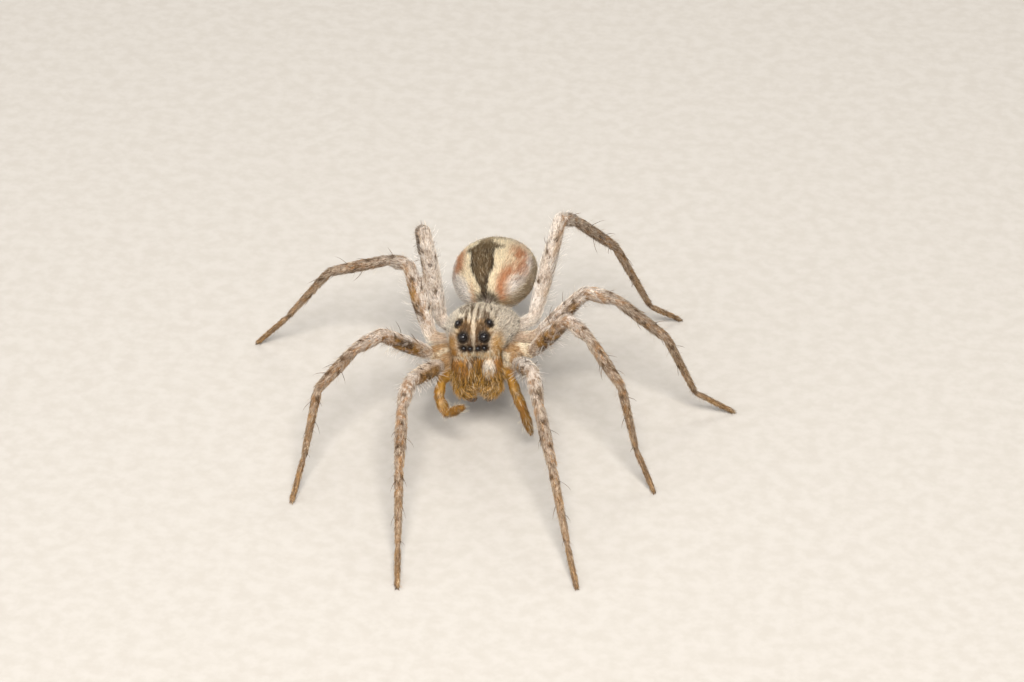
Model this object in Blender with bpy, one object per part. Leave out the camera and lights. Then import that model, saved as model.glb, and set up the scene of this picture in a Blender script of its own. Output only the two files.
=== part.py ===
"""A wolf spider at life size, standing still on eight spread legs.

The spider faces -Y, its left side is +X, and the floor is the plane Z = 0. Lengths are metres.
The body is modelled level, in a body frame whose origin is the middle of the carapace, and is then
tilted and raised into the stance. Every leg is a chain of five sections that starts at the end of
its coxa and ends in a small flat on the floor. Neighbouring sections are parted by a thin cut.
"""

import math

import bmesh
import bpy
from mathutils import Matrix, Vector

MM = 0.001
CUT = 0.06 * MM
SIDES = {"L": 1, "R": -1}
LENGTHWISE = Vector((0, 1, 0))
SIDEWAYS = Vector((1, 0, 0))
UPWARDS = Vector((0, 0, 1))

# Stance of the body: height of the carapace's middle, and how far the right side hangs lower.
BODY_HEIGHT = 6.35 * MM
BODY_TILT = math.radians(7)

# The middle of the footprint, in the frame whose origin lies below the middle of the carapace.
FOOTPRINT_CENTRE = Vector((0.48 * MM, -3.8 * MM, 0))

# Carapace: stations from the face to the rear, in millimetres.
# Each is (distance behind the middle, half width, top, lower edge, fullness of the arch).
CARAPACE_STATIONS = (
    (-3.52, 1.05, 1.45, 0.62, 2.6),
    (-3.44, 1.50, 1.78, 0.48, 2.6),
    (-3.20, 1.85, 2.22, 0.40, 2.5),
    (-2.80, 2.02, 2.62, 0.38, 2.4),
    (-2.30, 2.10, 2.92, 0.34, 2.4),
    (-1.50, 2.25, 3.02, 0.10, 2.2),
    (-0.60, 2.52, 2.94, 0.00, 2.0),
    (0.20, 2.76, 2.70, 0.00, 1.9),
    (1.00, 2.82, 2.22, 0.00, 1.9),
    (1.80, 2.66, 1.60, 0.00, 1.9),
    (2.60, 2.24, 0.98, 0.00, 2.0),
    (3.20, 1.64, 0.62, 0.12, 2.2),
    (3.55, 0.80, 0.42, 0.26, 2.4),
)
CARAPACE_RIM = 0.10 * MM
CARAPACE_FLOOR = 0.93
ARCH_POINTS = 17
FLOOR_POINTS = 5

# Eyes: name, radius, and place on the left side, in millimetres in the body frame.
EYES = (
    ("am", 0.14, (0.27, -3.47, 1.12)),
    ("al", 0.13, (0.74, -3.44, 1.14)),
    ("pm", 0.31, (0.75, -3.17, 1.90)),
    ("pl", 0.25, (1.16, -2.36, 2.60)),
)
SOCKET_GAP = 0.04 * MM

# Underside: the sternum's plate and the coxae that grow from it, in millimetres.
STERNUM_CENTRE = (0.0, 0.75, -0.95)
STERNUM_HALF = (1.85, 2.40, 0.72)
STERNUM_BLUNT = 0.3
STERNUM_SIDES = 20
STERNUM_STATIONS = 8
COXA_LENGTH = 2.4 * MM
COXA_HALF = 0.56 * MM

# End of each coxa on the left side, in millimetres in the body frame, and the coxa's bearing.
COXA_ENDS = {
    1: ((2.85, -2.60, -0.80), 40),
    2: ((3.75, -1.00, -0.88), 72),
    3: ((3.90, 0.90, -0.88), 98),
    4: ((3.45, 3.00, -0.68), 134),
}

# Legs: length of each section of each pair, in millimetres.
LEG_SECTIONS = ("femur", "patella", "tibia", "metatarsus", "tarsus")
LEG_LENGTHS = {
    1: (6.2, 2.6, 4.9, 5.5, 3.3),
    2: (5.6, 2.3, 4.2, 4.9, 3.4),
    3: (5.6, 2.3, 4.9, 5.4, 3.6),
    4: (7.6, 2.5, 5.2, 6.8, 3.3),
}
# Half thickness of each section at its start, middle and end, coat included, in millimetres.
LEG_HALVES = {
    "femur": (0.58, 0.68, 0.56),
    "patella": (0.57, 0.60, 0.50),
    "tibia": (0.48, 0.49, 0.42),
    "metatarsus": (0.40, 0.35, 0.30),
    "tarsus": (0.30, 0.28, 0.26),
}

# Pose of each leg in degrees: first the bearings of femur, patella, tibia and metatarsus, from
# straight ahead towards the leg's own side, and then their pitches, up from the level. The tarsus
# keeps the metatarsus's bearing and reaches the floor.
LEG_POSES = {
    "L1": ((17, 17, 20, 21), (29, -27, -29, -39)),
    "L2": ((51, 48, 52, 51), (53, -10, -38, -70)),
    "L3": ((85, 84, 93, 102), (52, -8, -40, -65)),
    "L4": ((155, 152, 130, 119), (64, -31, -44, -63)),
    "R1": ((14, 4, -5, -7), (22, -8, -25, -40)),
    "R2": ((46, 45, 33, 15), (38, -8, -19, -59)),
    "R3": ((143, 131, 95, 91), (53, -16, -21, -54)),
    "R4": ((100, 165, 177, 183), (80, -34, -52, -62)),
}
TIP_HEIGHT = 0.05 * MM
TIP_HALF = 0.20 * MM
TIP_TAPER = 0.25 * MM
LEG_SIDES = 10

# Bends: how far from a joint a section is straight again, and how much the joint is pinched.
BEND_LEAST = 0.30 * MM
BEND_ROOM = 1.05
JOINT_PINCH = 0.94

# Palps: start of the left one, and the length and half thickness of each section, in millimetres.
PALP_START = (1.20, -1.90, -1.50)
PALP_SECTIONS = ((0.85, 0.36), (2.00, 0.37), (1.20, 0.40), (1.40, 0.43), (2.10, 0.39))
PALP_TIP_HALF = 0.23 * MM
PALP_SIDES = 10
# Bearing and pitch of each section, in degrees, in the body frame.
PALP_POSES = {
    "L": ((62, -5), (18, 18), (26, -48), (50, -66), (85, -80)),
    "R": ((62, -5), (17, 12), (10, -35), (-48, -62), (-60, 35)),
}

# Chelicerae: the left one's stations from top to bottom, in millimetres.
# Each is (sideways, forward place, height, half width, half depth).
CHELICERA_STATIONS = (
    (0.93, -2.80, 0.16, 0.86, 0.66),
    (0.95, -2.97, -0.18, 0.90, 0.84),
    (0.97, -3.19, -0.70, 0.93, 0.92),
    (0.96, -3.41, -1.28, 0.92, 0.90),
    (0.94, -3.60, -1.82, 0.87, 0.82),
    (0.89, -3.76, -2.24, 0.74, 0.66),
    (0.85, -3.83, -2.48, 0.48, 0.44),
)
CHELICERA_SIDES = 16
# Fangs: the left one's stations, each (sideways, forward place, height, radius).
FANG_STATIONS = (
    (0.81, -3.82, -2.54, 0.30),
    (0.77, -3.78, -2.92, 0.27),
    (0.61, -3.52, -3.28, 0.20),
    (0.37, -3.08, -3.44, 0.10),
)
FANG_SIDES = 8

# Pedicel: its two ends in millimetres.
PEDICEL_ENDS = ((0, 3.22, -0.60), (0, 3.90, 0.08))
PEDICEL_HALF = 0.34 * MM
PEDICEL_SIDES = 12

# Abdomen: its front and length, its half sizes, its slope to the rear and the sag of its tail end.
ABDOMEN_FRONT = (0, 3.92, 0.24)
ABDOMEN_LENGTH = 8.1 * MM
ABDOMEN_HALF_WIDTH = 3.22 * MM
ABDOMEN_HALF_TOP = 2.60 * MM
ABDOMEN_HALF_BELLY = 2.40 * MM
ABDOMEN_SLOPE = math.radians(-3)
ABDOMEN_SAG = 0.7 * MM
ABDOMEN_ENDS = (0.008, 0.99)
ABDOMEN_SWELL = 1.12
ABDOMEN_FULLNESS = 2.3
ABDOMEN_STATIONS = 14
ABDOMEN_SIDES = 24

# Spinnerets: the stub that carries them, and each pair's radius, length and place, in millimetres.
STUB_HALF = 0.46 * MM
STUB_LENGTH = 0.30 * MM
SPINNERETS = (
    (0.17, 0.66, (0.19, 0.20)),
    (0.12, 0.42, (0.13, 0.00)),
    (0.16, 0.70, (0.21, -0.20)),
)
SPINNERET_TAPER = 0.55
SPINNERET_SINK = 0.12 * MM

MATERIALS = {
    "carapace_hide": ((0.55, 0.47, 0.36), 0.8),
    "abdomen_hide": ((0.66, 0.60, 0.50), 0.85),
    "leg_hide": ((0.52, 0.45, 0.37), 0.8),
    "foot_hide": ((0.42, 0.26, 0.14), 0.75),
    "underside_hide": ((0.34, 0.27, 0.20), 0.8),
    "chelicera_hide": ((0.48, 0.24, 0.08), 0.7),
    "palp_hide": ((0.60, 0.33, 0.10), 0.65),
    "fang_horn": ((0.05, 0.02, 0.012), 0.25),
    "eye_glass": ((0.008, 0.007, 0.007), 0.08),
}


def clear_scene():
    for obj in list(bpy.data.objects):
        bpy.data.objects.remove(obj)


def make_collection(name):
    collection = bpy.data.collections.new(name)
    bpy.context.scene.collection.children.link(collection)
    return collection


def material(name):
    found = bpy.data.materials.get(name)
    if found:
        return found
    colour, roughness = MATERIALS[name]
    made = bpy.data.materials.new(name)
    made.use_nodes = True
    shader = made.node_tree.nodes["Principled BSDF"]
    shader.inputs["Base Color"].default_value = (*colour, 1)
    shader.inputs["Roughness"].default_value = roughness
    shader.inputs["Metallic"].default_value = 0
    return made


def stand_frame():
    """The frame of the legs, moved so that the origin lies below the middle of the footprint."""
    return Matrix.Translation(-FOOTPRINT_CENTRE)


def body_tilt():
    """The level body's frame, tilted about its length and raised to its height."""
    return Matrix.Translation(UPWARDS * BODY_HEIGHT) @ Matrix.Rotation(-BODY_TILT, 4, "Y")


def body_frame():
    return stand_frame() @ body_tilt()


def on_side(place, side):
    """A place in millimetres on the left side, carried to the side asked for, in metres."""
    return Vector((place[0] * side, place[1], place[2])) * MM


def heading(bearing, pitch, side):
    """The unit vector of a bearing from straight ahead and a pitch, both in degrees."""
    turn = math.radians(bearing)
    rise = math.radians(pitch)
    level = math.cos(rise)
    return Vector((side * math.sin(turn) * level, -math.cos(turn) * level, math.sin(rise)))


def oval(centre, forward, wide, half_width, half_height, sides):
    """A ring of points square to forward, with its width as near to wide as that allows."""
    forward = forward.normalized()
    wide = (wide - forward * wide.dot(forward)).normalized()
    high = wide.cross(forward)
    ring = []
    for step in range(sides):
        angle = 2 * math.pi * step / sides
        ring.append(centre + wide * half_width * math.cos(angle) + high * half_height * math.sin(angle))
    return ring


def tube_ring(centre, half, sides):
    """A round ring of a tube that runs along the body."""
    return oval(centre, LENGTHWISE, SIDEWAYS, half, half, sides)


def loft(rings):
    """A closed mesh through rings of equally many points, with flat ends."""
    mesh = bmesh.new()
    loops = [[mesh.verts.new(point) for point in ring] for ring in rings]
    count = len(loops[0])
    for near, far in zip(loops, loops[1:]):
        for step in range(count):
            after = (step + 1) % count
            mesh.faces.new((near[step], near[after], far[after], far[step]))
    mesh.faces.new(loops[0])
    mesh.faces.new(loops[-1])
    bmesh.ops.recalc_face_normals(mesh, faces=mesh.faces)
    return mesh


def add_object(name, mesh, finish, collection, frame):
    """Makes the object of a mesh that was modelled in the frame given."""
    bmesh.ops.transform(mesh, matrix=frame, verts=mesh.verts)
    data = bpy.data.meshes.new(name)
    mesh.to_mesh(data)
    mesh.free()
    data.shade_smooth()
    data.materials.append(material(finish))
    obj = bpy.data.objects.new(name, data)
    collection.objects.link(obj)
    return obj


def combine(target, other, operation):
    """Cuts or joins target with a guide object, which stays out of the model itself."""
    modifier = target.modifiers.new(other.name, "BOOLEAN")
    modifier.operation = operation
    modifier.solver = "EXACT"
    modifier.object = other
    other.hide_render = True
    other.display_type = "WIRE"


def ball(radius, centre):
    mesh = bmesh.new()
    bmesh.ops.create_icosphere(mesh, subdivisions=2, radius=radius, matrix=Matrix.Translation(centre))
    return mesh


class Chain:
    """The joints of a limb, the direction of each section, and the direction at each joint.

    Each section's width is carried on from the section before it without a twist.
    """

    def __init__(self, start, root_way, steps):
        self.points = [start]
        self.ways = [way for way, _ in steps]
        before = [root_way] + self.ways
        after = self.ways + [self.ways[-1]]
        wides = [root_way.cross(UPWARDS).normalized()]
        for old_way, (way, length) in zip(before, steps):
            self.points.append(self.points[-1] + way * length)
            wides.append(old_way.rotation_difference(way) @ wides[-1])
        self.root_wide = wides[0]
        self.wides = wides[1:]
        self.joint_ways = [(one + two).normalized() for one, two in zip(before, after)]
        self.joint_wides = [one + two for one, two in zip(wides, wides[1:] + wides[-1:])]
        self.bends = [one.angle(two) for one, two in zip(before, after)]

    def joint_ring(self, joint, half, shift, sides):
        """The ring at a joint, in the plane that halves the bend, moved along the limb by shift."""
        way = self.joint_ways[joint]
        centre = self.points[joint] + way * shift
        return oval(centre, way, self.joint_wides[joint], half, half, sides)

    def straight_room(self, joint, half):
        """How far from a joint a ring square to the section clears the joint's own ring."""
        return max(BEND_LEAST, half * math.tan(self.bends[joint] / 2) * BEND_ROOM)

    def section_rings(self, index, halves, sides):
        """The rings of one section, from just after its first joint to just before its last."""
        start, end = self.points[index], self.points[index + 1]
        way, wide = self.ways[index], self.wides[index]
        first, middle, last = halves
        after = start + way * self.straight_room(index, first)
        before = end - way * self.straight_room(index + 1, last)
        return [
            self.joint_ring(index, first * JOINT_PINCH, CUT / 2, sides),
            oval(after, way, wide, first, first, sides),
            oval((after + before) / 2, way, wide, middle, middle, sides),
            oval(before, way, wide, last, last, sides),
            self.joint_ring(index + 1, last * JOINT_PINCH, -CUT / 2, sides),
        ]


def leg_chain(leg):
    """The chain of one leg, from the end of its coxa to the tip of its tarsus on the floor."""
    side = SIDES[leg[0]]
    pair = int(leg[1])
    place, coxa_bearing = COXA_ENDS[pair]
    start = body_tilt() @ on_side(place, side)
    bearings, pitches = LEG_POSES[leg]
    lengths = [length * MM for length in LEG_LENGTHS[pair]]
    height = start.z
    steps = []
    for length, bearing, pitch in zip(lengths, bearings, pitches):
        steps.append((heading(bearing, pitch, side), length))
        height += length * math.sin(math.radians(pitch))
    last_pitch = math.degrees(math.asin((TIP_HEIGHT - height) / lengths[-1]))
    steps.append((heading(bearings[-1], last_pitch, side), lengths[-1]))
    return Chain(start, body_tilt().to_3x3() @ heading(coxa_bearing, 0, side), steps)


def flatten_foot(mesh):
    """Cuts off what reaches below the floor, which leaves a small flat to stand on."""
    everything = mesh.verts[:] + mesh.edges[:] + mesh.faces[:]
    bmesh.ops.bisect_plane(mesh, geom=everything, plane_co=(0, 0, 0), plane_no=UPWARDS, clear_inner=True)
    rim = [edge for edge in mesh.edges if edge.is_boundary]
    bmesh.ops.contextual_create(mesh, geom=rim)
    bmesh.ops.recalc_face_normals(mesh, faces=mesh.faces)


def add_leg(leg, parts):
    chain = leg_chain(leg)
    for index, section in enumerate(LEG_SECTIONS):
        halves = [half * MM for half in LEG_HALVES[section]]
        rings = chain.section_rings(index, halves, LEG_SIDES)
        if section == "tarsus":
            tip, way, wide = chain.points[-1], chain.ways[-1], chain.wides[-1]
            rings = rings[:3]
            rings.append(oval(tip - way * TIP_TAPER, way, wide, halves[2], halves[2], LEG_SIDES))
            rings.append(oval(tip, way, wide, TIP_HALF, TIP_HALF, LEG_SIDES))
        mesh = loft(rings)
        if section == "tarsus":
            flatten_foot(mesh)
        finish = "foot_hide" if section in ("metatarsus", "tarsus") else "leg_hide"
        add_object(f"leg_{leg}_{section}", mesh, finish, parts, stand_frame())


def add_palp(letter, parts):
    side = SIDES[letter]
    steps = []
    for (bearing, pitch), (length, _) in zip(PALP_POSES[letter], PALP_SECTIONS):
        steps.append((heading(bearing, pitch, side), length * MM))
    chain = Chain(on_side(PALP_START, side), steps[0][0], steps)
    rings = []
    for index, (_, half) in enumerate(PALP_SECTIONS):
        rings.append(chain.joint_ring(index, half * MM * JOINT_PINCH, 0, PALP_SIDES))
        middle = (chain.points[index] + chain.points[index + 1]) / 2
        rings.append(oval(middle, chain.ways[index], chain.wides[index], half * MM, half * MM, PALP_SIDES))
    rings.append(chain.joint_ring(len(PALP_SECTIONS), PALP_TIP_HALF, 0, PALP_SIDES))
    add_object(f"palp_{letter}", loft(rings), "palp_hide", parts, body_frame())


def carapace_ring(station):
    """An arch over a flat floor, with a low rim between them."""
    place, half_width, top, edge, fullness = station
    ring = []
    for step in range(ARCH_POINTS):
        angle = math.pi * step / (ARCH_POINTS - 1)
        wide = math.copysign(abs(math.cos(angle)) ** (2 / fullness), math.cos(angle))
        high = abs(math.sin(angle)) ** (2 / fullness)
        ring.append(Vector((half_width * wide, place, edge + (top - edge) * high)) * MM)
    for step in range(FLOOR_POINTS):
        share = 2 * step / (FLOOR_POINTS - 1) - 1
        ring.append(Vector((half_width * CARAPACE_FLOOR * share, place, edge)) * MM - UPWARDS * CARAPACE_RIM)
    return ring


def add_carapace(parts, cutters):
    """The carapace with a socket for each eye, and the eyes."""
    mesh = loft([carapace_ring(station) for station in CARAPACE_STATIONS])
    carapace = add_object("carapace", mesh, "carapace_hide", parts, body_frame())
    for letter, side in SIDES.items():
        for row, radius, place in EYES:
            centre = on_side(place, side)
            add_object(f"eye_{row}_{letter}", ball(radius * MM, centre), "eye_glass", parts, body_frame())
            hollow = ball(radius * MM + SOCKET_GAP, centre)
            socket = add_object(f"socket_{row}_{letter}", hollow, "eye_glass", cutters, body_frame())
            combine(carapace, socket, "DIFFERENCE")


def sternum_rings():
    centre = Vector(STERNUM_CENTRE) * MM
    half = Vector(STERNUM_HALF) * MM
    rings = []
    for step in range(STERNUM_STATIONS):
        angle = math.pi * (step + STERNUM_BLUNT) / (STERNUM_STATIONS - 1 + 2 * STERNUM_BLUNT)
        middle = centre - LENGTHWISE * half.y * math.cos(angle)
        size = math.sin(angle)
        rings.append(oval(middle, LENGTHWISE, SIDEWAYS, half.x * size, half.z * size, STERNUM_SIDES))
    return rings


def coxa_rings(leg):
    """The rings of one coxa, from inside the sternum to the first joint of its leg."""
    side = SIDES[leg[0]]
    bearing = COXA_ENDS[int(leg[1])][1]
    chain = leg_chain(leg)
    way = body_tilt().to_3x3() @ heading(bearing, 0, side)
    wide = chain.root_wide
    joint_half = LEG_HALVES["femur"][0] * MM * JOINT_PINCH
    tip = chain.points[0]
    straight = tip - way * chain.straight_room(0, COXA_HALF)
    return [
        oval(tip - way * COXA_LENGTH, way, wide, COXA_HALF, COXA_HALF, LEG_SIDES),
        oval(straight, way, wide, COXA_HALF, COXA_HALF, LEG_SIDES),
        chain.joint_ring(0, joint_half, -CUT / 2, LEG_SIDES),
    ]


def add_sternum(parts, cutters):
    """The plate of the underside with the eight coxae that grow from it."""
    sternum = add_object("sternum", loft(sternum_rings()), "underside_hide", parts, body_frame())
    for leg in LEG_POSES:
        mesh = loft(coxa_rings(leg))
        combine(sternum, add_object(f"coxa_{leg}", mesh, "underside_hide", cutters, stand_frame()), "UNION")


def add_chelicera(letter, parts):
    side = SIDES[letter]
    rings = []
    for sideways, place, height, half_width, half_depth in CHELICERA_STATIONS:
        centre = on_side((sideways, place, height), side)
        rings.append(oval(centre, UPWARDS, SIDEWAYS, half_width * MM, half_depth * MM, CHELICERA_SIDES))
    add_object(f"chelicera_{letter}", loft(rings), "chelicera_hide", parts, body_frame())


def add_fang(letter, parts):
    side = SIDES[letter]
    centres = [on_side(station[:3], side) for station in FANG_STATIONS]
    rings = []
    for index, centre in enumerate(centres):
        before = centres[max(index - 1, 0)]
        after = centres[min(index + 1, len(centres) - 1)]
        way = after - before if index else -UPWARDS
        half = FANG_STATIONS[index][3] * MM
        rings.append(oval(centre, way, SIDEWAYS, half, half, FANG_SIDES))
    add_object(f"fang_{letter}", loft(rings), "fang_horn", parts, body_frame())


def add_pedicel(parts):
    start, end = (Vector(place) * MM for place in PEDICEL_ENDS)
    rings = [tube_ring(point, PEDICEL_HALF, PEDICEL_SIDES) for point in (start, end)]
    add_object("pedicel", loft(rings), "underside_hide", parts, body_frame())


def abdomen_frame():
    place = Matrix.Translation(Vector(ABDOMEN_FRONT) * MM)
    return body_frame() @ place @ Matrix.Rotation(ABDOMEN_SLOPE, 4, "X")


def abdomen_axis(share):
    """A point on the abdomen's middle line, whose tail end sags."""
    return LENGTHWISE * ABDOMEN_LENGTH * share - UPWARDS * ABDOMEN_SAG * share**3


def abdomen_ring(share):
    """An oval whose belly and back have their own depths; share runs from 0 in front to 1 behind."""
    swell = 2 * share**ABDOMEN_SWELL - 1
    size = math.sqrt(1 - abs(swell) ** ABDOMEN_FULLNESS)
    ring = []
    for step in range(ABDOMEN_SIDES):
        angle = 2 * math.pi * step / ABDOMEN_SIDES
        depth = ABDOMEN_HALF_TOP if math.sin(angle) > 0 else ABDOMEN_HALF_BELLY
        offset = SIDEWAYS * ABDOMEN_HALF_WIDTH * math.cos(angle) + UPWARDS * depth * math.sin(angle)
        ring.append(abdomen_axis(share) + offset * size)
    return ring


def add_abdomen(parts):
    front, rear = ABDOMEN_ENDS
    rings = []
    for step in range(ABDOMEN_STATIONS):
        eased = (1 - math.cos(math.pi * step / (ABDOMEN_STATIONS - 1))) / 2
        rings.append(abdomen_ring(front + (rear - front) * eased))
    add_object("abdomen", loft(rings), "abdomen_hide", parts, abdomen_frame())


def add_spinnerets(parts, cutters):
    """Three pairs of spinnerets on a short stub behind the abdomen."""
    base = abdomen_axis(ABDOMEN_ENDS[1]) + LENGTHWISE * CUT
    end = base + LENGTHWISE * STUB_LENGTH
    rings = [tube_ring(point, STUB_HALF, PEDICEL_SIDES) for point in (base, end)]
    stub = add_object("spinnerets", loft(rings), "underside_hide", parts, abdomen_frame())
    for letter, side in SIDES.items():
        for pair, (half, length, (sideways, height)) in enumerate(SPINNERETS):
            root = end - LENGTHWISE * SPINNERET_SINK + on_side((sideways, 0, height), side)
            tip = root + LENGTHWISE * length * MM
            near = tube_ring(root, half * MM, FANG_SIDES)
            far = tube_ring(tip, half * MM * SPINNERET_TAPER, FANG_SIDES)
            name = f"spinneret_{pair}_{letter}"
            spinneret = add_object(name, loft([near, far]), "underside_hide", cutters, abdomen_frame())
            combine(stub, spinneret, "UNION")


def main():
    clear_scene()
    parts = make_collection("wolf_spider")
    cutters = make_collection("wolf_spider_cutters")
    add_carapace(parts, cutters)
    add_sternum(parts, cutters)
    for letter in SIDES:
        add_chelicera(letter, parts)
        add_fang(letter, parts)
        add_palp(letter, parts)
    add_pedicel(parts)
    add_abdomen(parts)
    add_spinnerets(parts, cutters)
    for leg in LEG_POSES:
        add_leg(leg, parts)


main()
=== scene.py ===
import math
from functools import partialmethod

import bmesh
import bpy
import numpy as np
from bpy.props import FloatProperty, FloatVectorProperty, IntProperty, PointerProperty
from mathutils import Matrix, Vector
from mathutils.bvhtree import BVHTree


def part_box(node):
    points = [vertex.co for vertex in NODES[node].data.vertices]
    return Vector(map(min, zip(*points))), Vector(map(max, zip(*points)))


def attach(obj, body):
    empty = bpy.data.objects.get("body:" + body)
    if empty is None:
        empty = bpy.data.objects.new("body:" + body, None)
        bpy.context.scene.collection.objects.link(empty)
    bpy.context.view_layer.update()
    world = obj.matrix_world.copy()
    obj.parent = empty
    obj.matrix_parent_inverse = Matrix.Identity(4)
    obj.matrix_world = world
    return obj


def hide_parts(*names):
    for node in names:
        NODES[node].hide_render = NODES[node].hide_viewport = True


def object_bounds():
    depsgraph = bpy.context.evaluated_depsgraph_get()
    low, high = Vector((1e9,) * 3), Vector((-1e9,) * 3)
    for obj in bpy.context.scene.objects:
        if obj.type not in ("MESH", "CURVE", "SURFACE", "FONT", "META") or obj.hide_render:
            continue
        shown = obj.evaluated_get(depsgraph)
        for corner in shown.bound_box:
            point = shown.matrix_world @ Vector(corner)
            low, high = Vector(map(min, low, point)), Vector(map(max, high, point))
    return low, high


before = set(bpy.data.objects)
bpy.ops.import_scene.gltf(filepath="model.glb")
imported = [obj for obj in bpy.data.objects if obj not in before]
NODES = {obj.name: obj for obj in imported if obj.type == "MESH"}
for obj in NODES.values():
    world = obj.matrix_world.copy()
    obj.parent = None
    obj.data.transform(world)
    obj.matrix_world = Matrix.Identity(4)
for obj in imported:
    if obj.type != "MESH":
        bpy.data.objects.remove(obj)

bl_info = {
    "name": "Wolf Spider Looks",
    "version": (1, 0, 0),
    "blender": (4, 5, 0),
    "location": "View3D > Sidebar > Spider",
    "description": "Skin, coat, eyes and stage for a life-size wolf spider",
    "category": "Object",
}

CAD_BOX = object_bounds()
MM = 0.001
TAU = 2 * math.pi
LENGTHWISE = Vector((0, 1, 0))

LEGS = ("L1", "L2", "L3", "L4", "R1", "R2", "R3", "R4")
SECTIONS = ("femur", "patella", "tibia", "metatarsus", "tarsus")
SIDES = {"L": 1, "R": -1}
EYES = [name for name in NODES if name.startswith("eye_")]
FLESH = sorted(name for name in NODES if not name.startswith(("eye_", "fang_")))
# Parts of the body whose coat carries marks of its own, in the order of the channels of kind.
MARKED = ("carapace", "abdomen", "chelicera", "palp")

# The body's own axes start from the pair of large front eyes, which stand this far ahead of the
# middle of the carapace and this high above its lower edge. Body places below are in millimetres.
EYES_AHEAD = 3.17
EYES_ABOVE = 1.90

# Skin: what closes the thin cuts, the grid it is rebuilt on, and how often it is smoothed, in mm.
WELD = 1e-7
CAP_ANGLE = math.radians(0.5)
CAP_CORNERS = 8
SEAM_GROWTH = 0.045
SKIN_GRID = 0.120
LIMB_SMOOTHINGS = 4
BODY_SMOOTHINGS = 28
DEPTH_SMOOTHINGS = 4
KIND_SMOOTHINGS = 3
EYE_FILL = 1.10
# How far each row's lens swells out of its socket, and how far past it the dark rim reaches in mm.
LENS_SWELL = {"pm": 1.07, "pl": 0.89, "am": 1.32, "al": 1.32}
EYE_RIM = {"pm": 0.21, "pl": 0.21, "am": 0.16, "al": 0.16}
# Lumps of soft tissue between the plates: (sideways, behind, up) and half sizes, in body millimetres.
# A lump that stands sideways of the middle comes in a pair.
LUMPS = (
    ((0.0, 0.30, -0.20), (2.20, 3.00, 0.50)),
    ((0.0, 3.35, -0.30), (0.60, 0.75, 0.40)),
    ((0.0, -1.95, -1.45), (0.34, 0.40, 0.34)),
    ((0.88, -2.72, 0.30), (0.80, 0.62, 0.50)),
    ((0.66, -2.15, -1.45), (0.40, 0.62, 0.62)),
    ((1.05, -2.50, 2.56), (0.35, 0.34, 0.35)),
)
# Grooves that run out from the middle of the carapace: bearing from straight ahead, in degrees.
FOVEA_BEHIND = 1.35
GROOVE_BEARINGS = (38, 68, 96, 124)
GROOVE_DEPTH = 0.07
GROOVE_WIDTH = 0.13
GROOVE_REACH = (0.5, 2.3)
JOINT_PINCH = 0.055
JOINT_PINCH_LENGTH = 0.17
# The limbs' places lie this far apart, in mm, so that no two limbs carry the same pattern.
LIMB_STEP = 9.0
# Reach counts a limb's sections, and every limb's reach ends at this number.
REACH_END = 6
COXA_LENGTH = 2.0
COXA_REACH = 0.95
# A coxa's coat starts at this share of its first section and stays within so many of its lengths.
COXA_START = 0.12
COXA_SPAN = 1.6
# Segments and rings of the balls that make the soft lumps, the eyes' sockets and the lenses.
LUMP_BALL = (24, 14)
SOCKET_BALL = (20, 12)
LENS_BALL = (40, 24)

# The coat is shallower on the palps, and sparser below the body, by these shares.
PALP_THINNING = 0.45
UNDER_THINNING = 0.45
# No hair comes closer to the floor than this, in mm.
FLOOR_GAP = 0.012
# How far a coat's hairs differ: shares of its length and width, and the spread of its tilt.
LENGTH_SPREAD = (0.75, 1.2)
WIDTH_SPREAD = (0.8, 1.2)
TILT_SPREAD = 0.3
# A lying hair's tip comes to between these shares of the coat's depth.
LYING_SPREAD = (0.35, 1.15)
# How far outside a lens a hair's root, middle and tip stay, in its radii.
EYE_CLEARANCE = (1.08, 1.06, 1.02)
# How near a spine's root its dark spot reaches, in mm.
SPOT_REACH = 0.24
SPINE_WIDTH = 0.052
SPINE_TILTS = (16, 48)
CLAW_TURNS = (-16, 16)
# Spines of a leg: section, share of it, turn from the back towards the front in degrees, length in mm.
SPINES = (
    ("femur", 0.36, 0, 1.05), ("femur", 0.66, 8, 1.15), ("femur", 0.80, 60, 0.9),
    ("femur", 0.72, -60, 0.9), ("patella", 0.70, 0, 0.75), ("tibia", 0.30, 14, 1.10),
    ("tibia", 0.68, -12, 1.15), ("tibia", 0.52, 85, 1.0), ("tibia", 0.40, -85, 1.0),
    ("tibia", 0.45, 150, 1.1), ("tibia", 0.92, -150, 0.9), ("metatarsus", 0.12, 62, 1.05),
    ("metatarsus", 0.18, -66, 1.0), ("metatarsus", 0.46, 140, 1.0), ("metatarsus", 0.60, -110, 0.9),
    ("metatarsus", 0.94, 110, 0.5),
)

NOISE_ROUGHNESS = 0.55
# The abdomen's markings sit turned about its length by this angle.
ABDOMEN_TWIST = math.radians(12)
# The flanks' fine dark arcs run round this oval of the carapace, (centre, half sizes), this far apart.
CARAPACE_OVAL = ((0.0, 0.35, 0.0), (2.75, 3.45, 1000.0))
ARC_SPACING = 0.075
# What the shell under the hairs keeps of the coat's colours where the coat is thick.
SHELL_SHADE = (0.36, 0.28, 0.22, 1)
SHELL_SHINE, HAIR_SHINE, LENS_SHINE = 0.22, 0.16, 0.38

# Where the camera aims, in millimetres from the middle of the outline.
AIM = (1.741, 3.780, -0.712)
SENSOR = 36.0
CLIP = (0.01, 10)
FLOOR_SIZE = 3.0
# Lamps: name, (azimuth, elevation) in degrees, distance and size in metres, power and colour.
LIGHTS = (
    ("key", (8, 53), 0.42, 0.20, 3.00, (1.0, 0.965, 0.92)),
    ("fill", (-55, 38), 0.50, 0.60, 1.60, (0.97, 0.98, 1.0)),
    ("rim", (165, 48), 0.50, 0.30, 0.80, (1.0, 0.98, 0.95)),
)
BACKDROP = (0.86, 0.88, 0.92, 1)
BACKDROP_STRENGTH = 0.25


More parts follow.
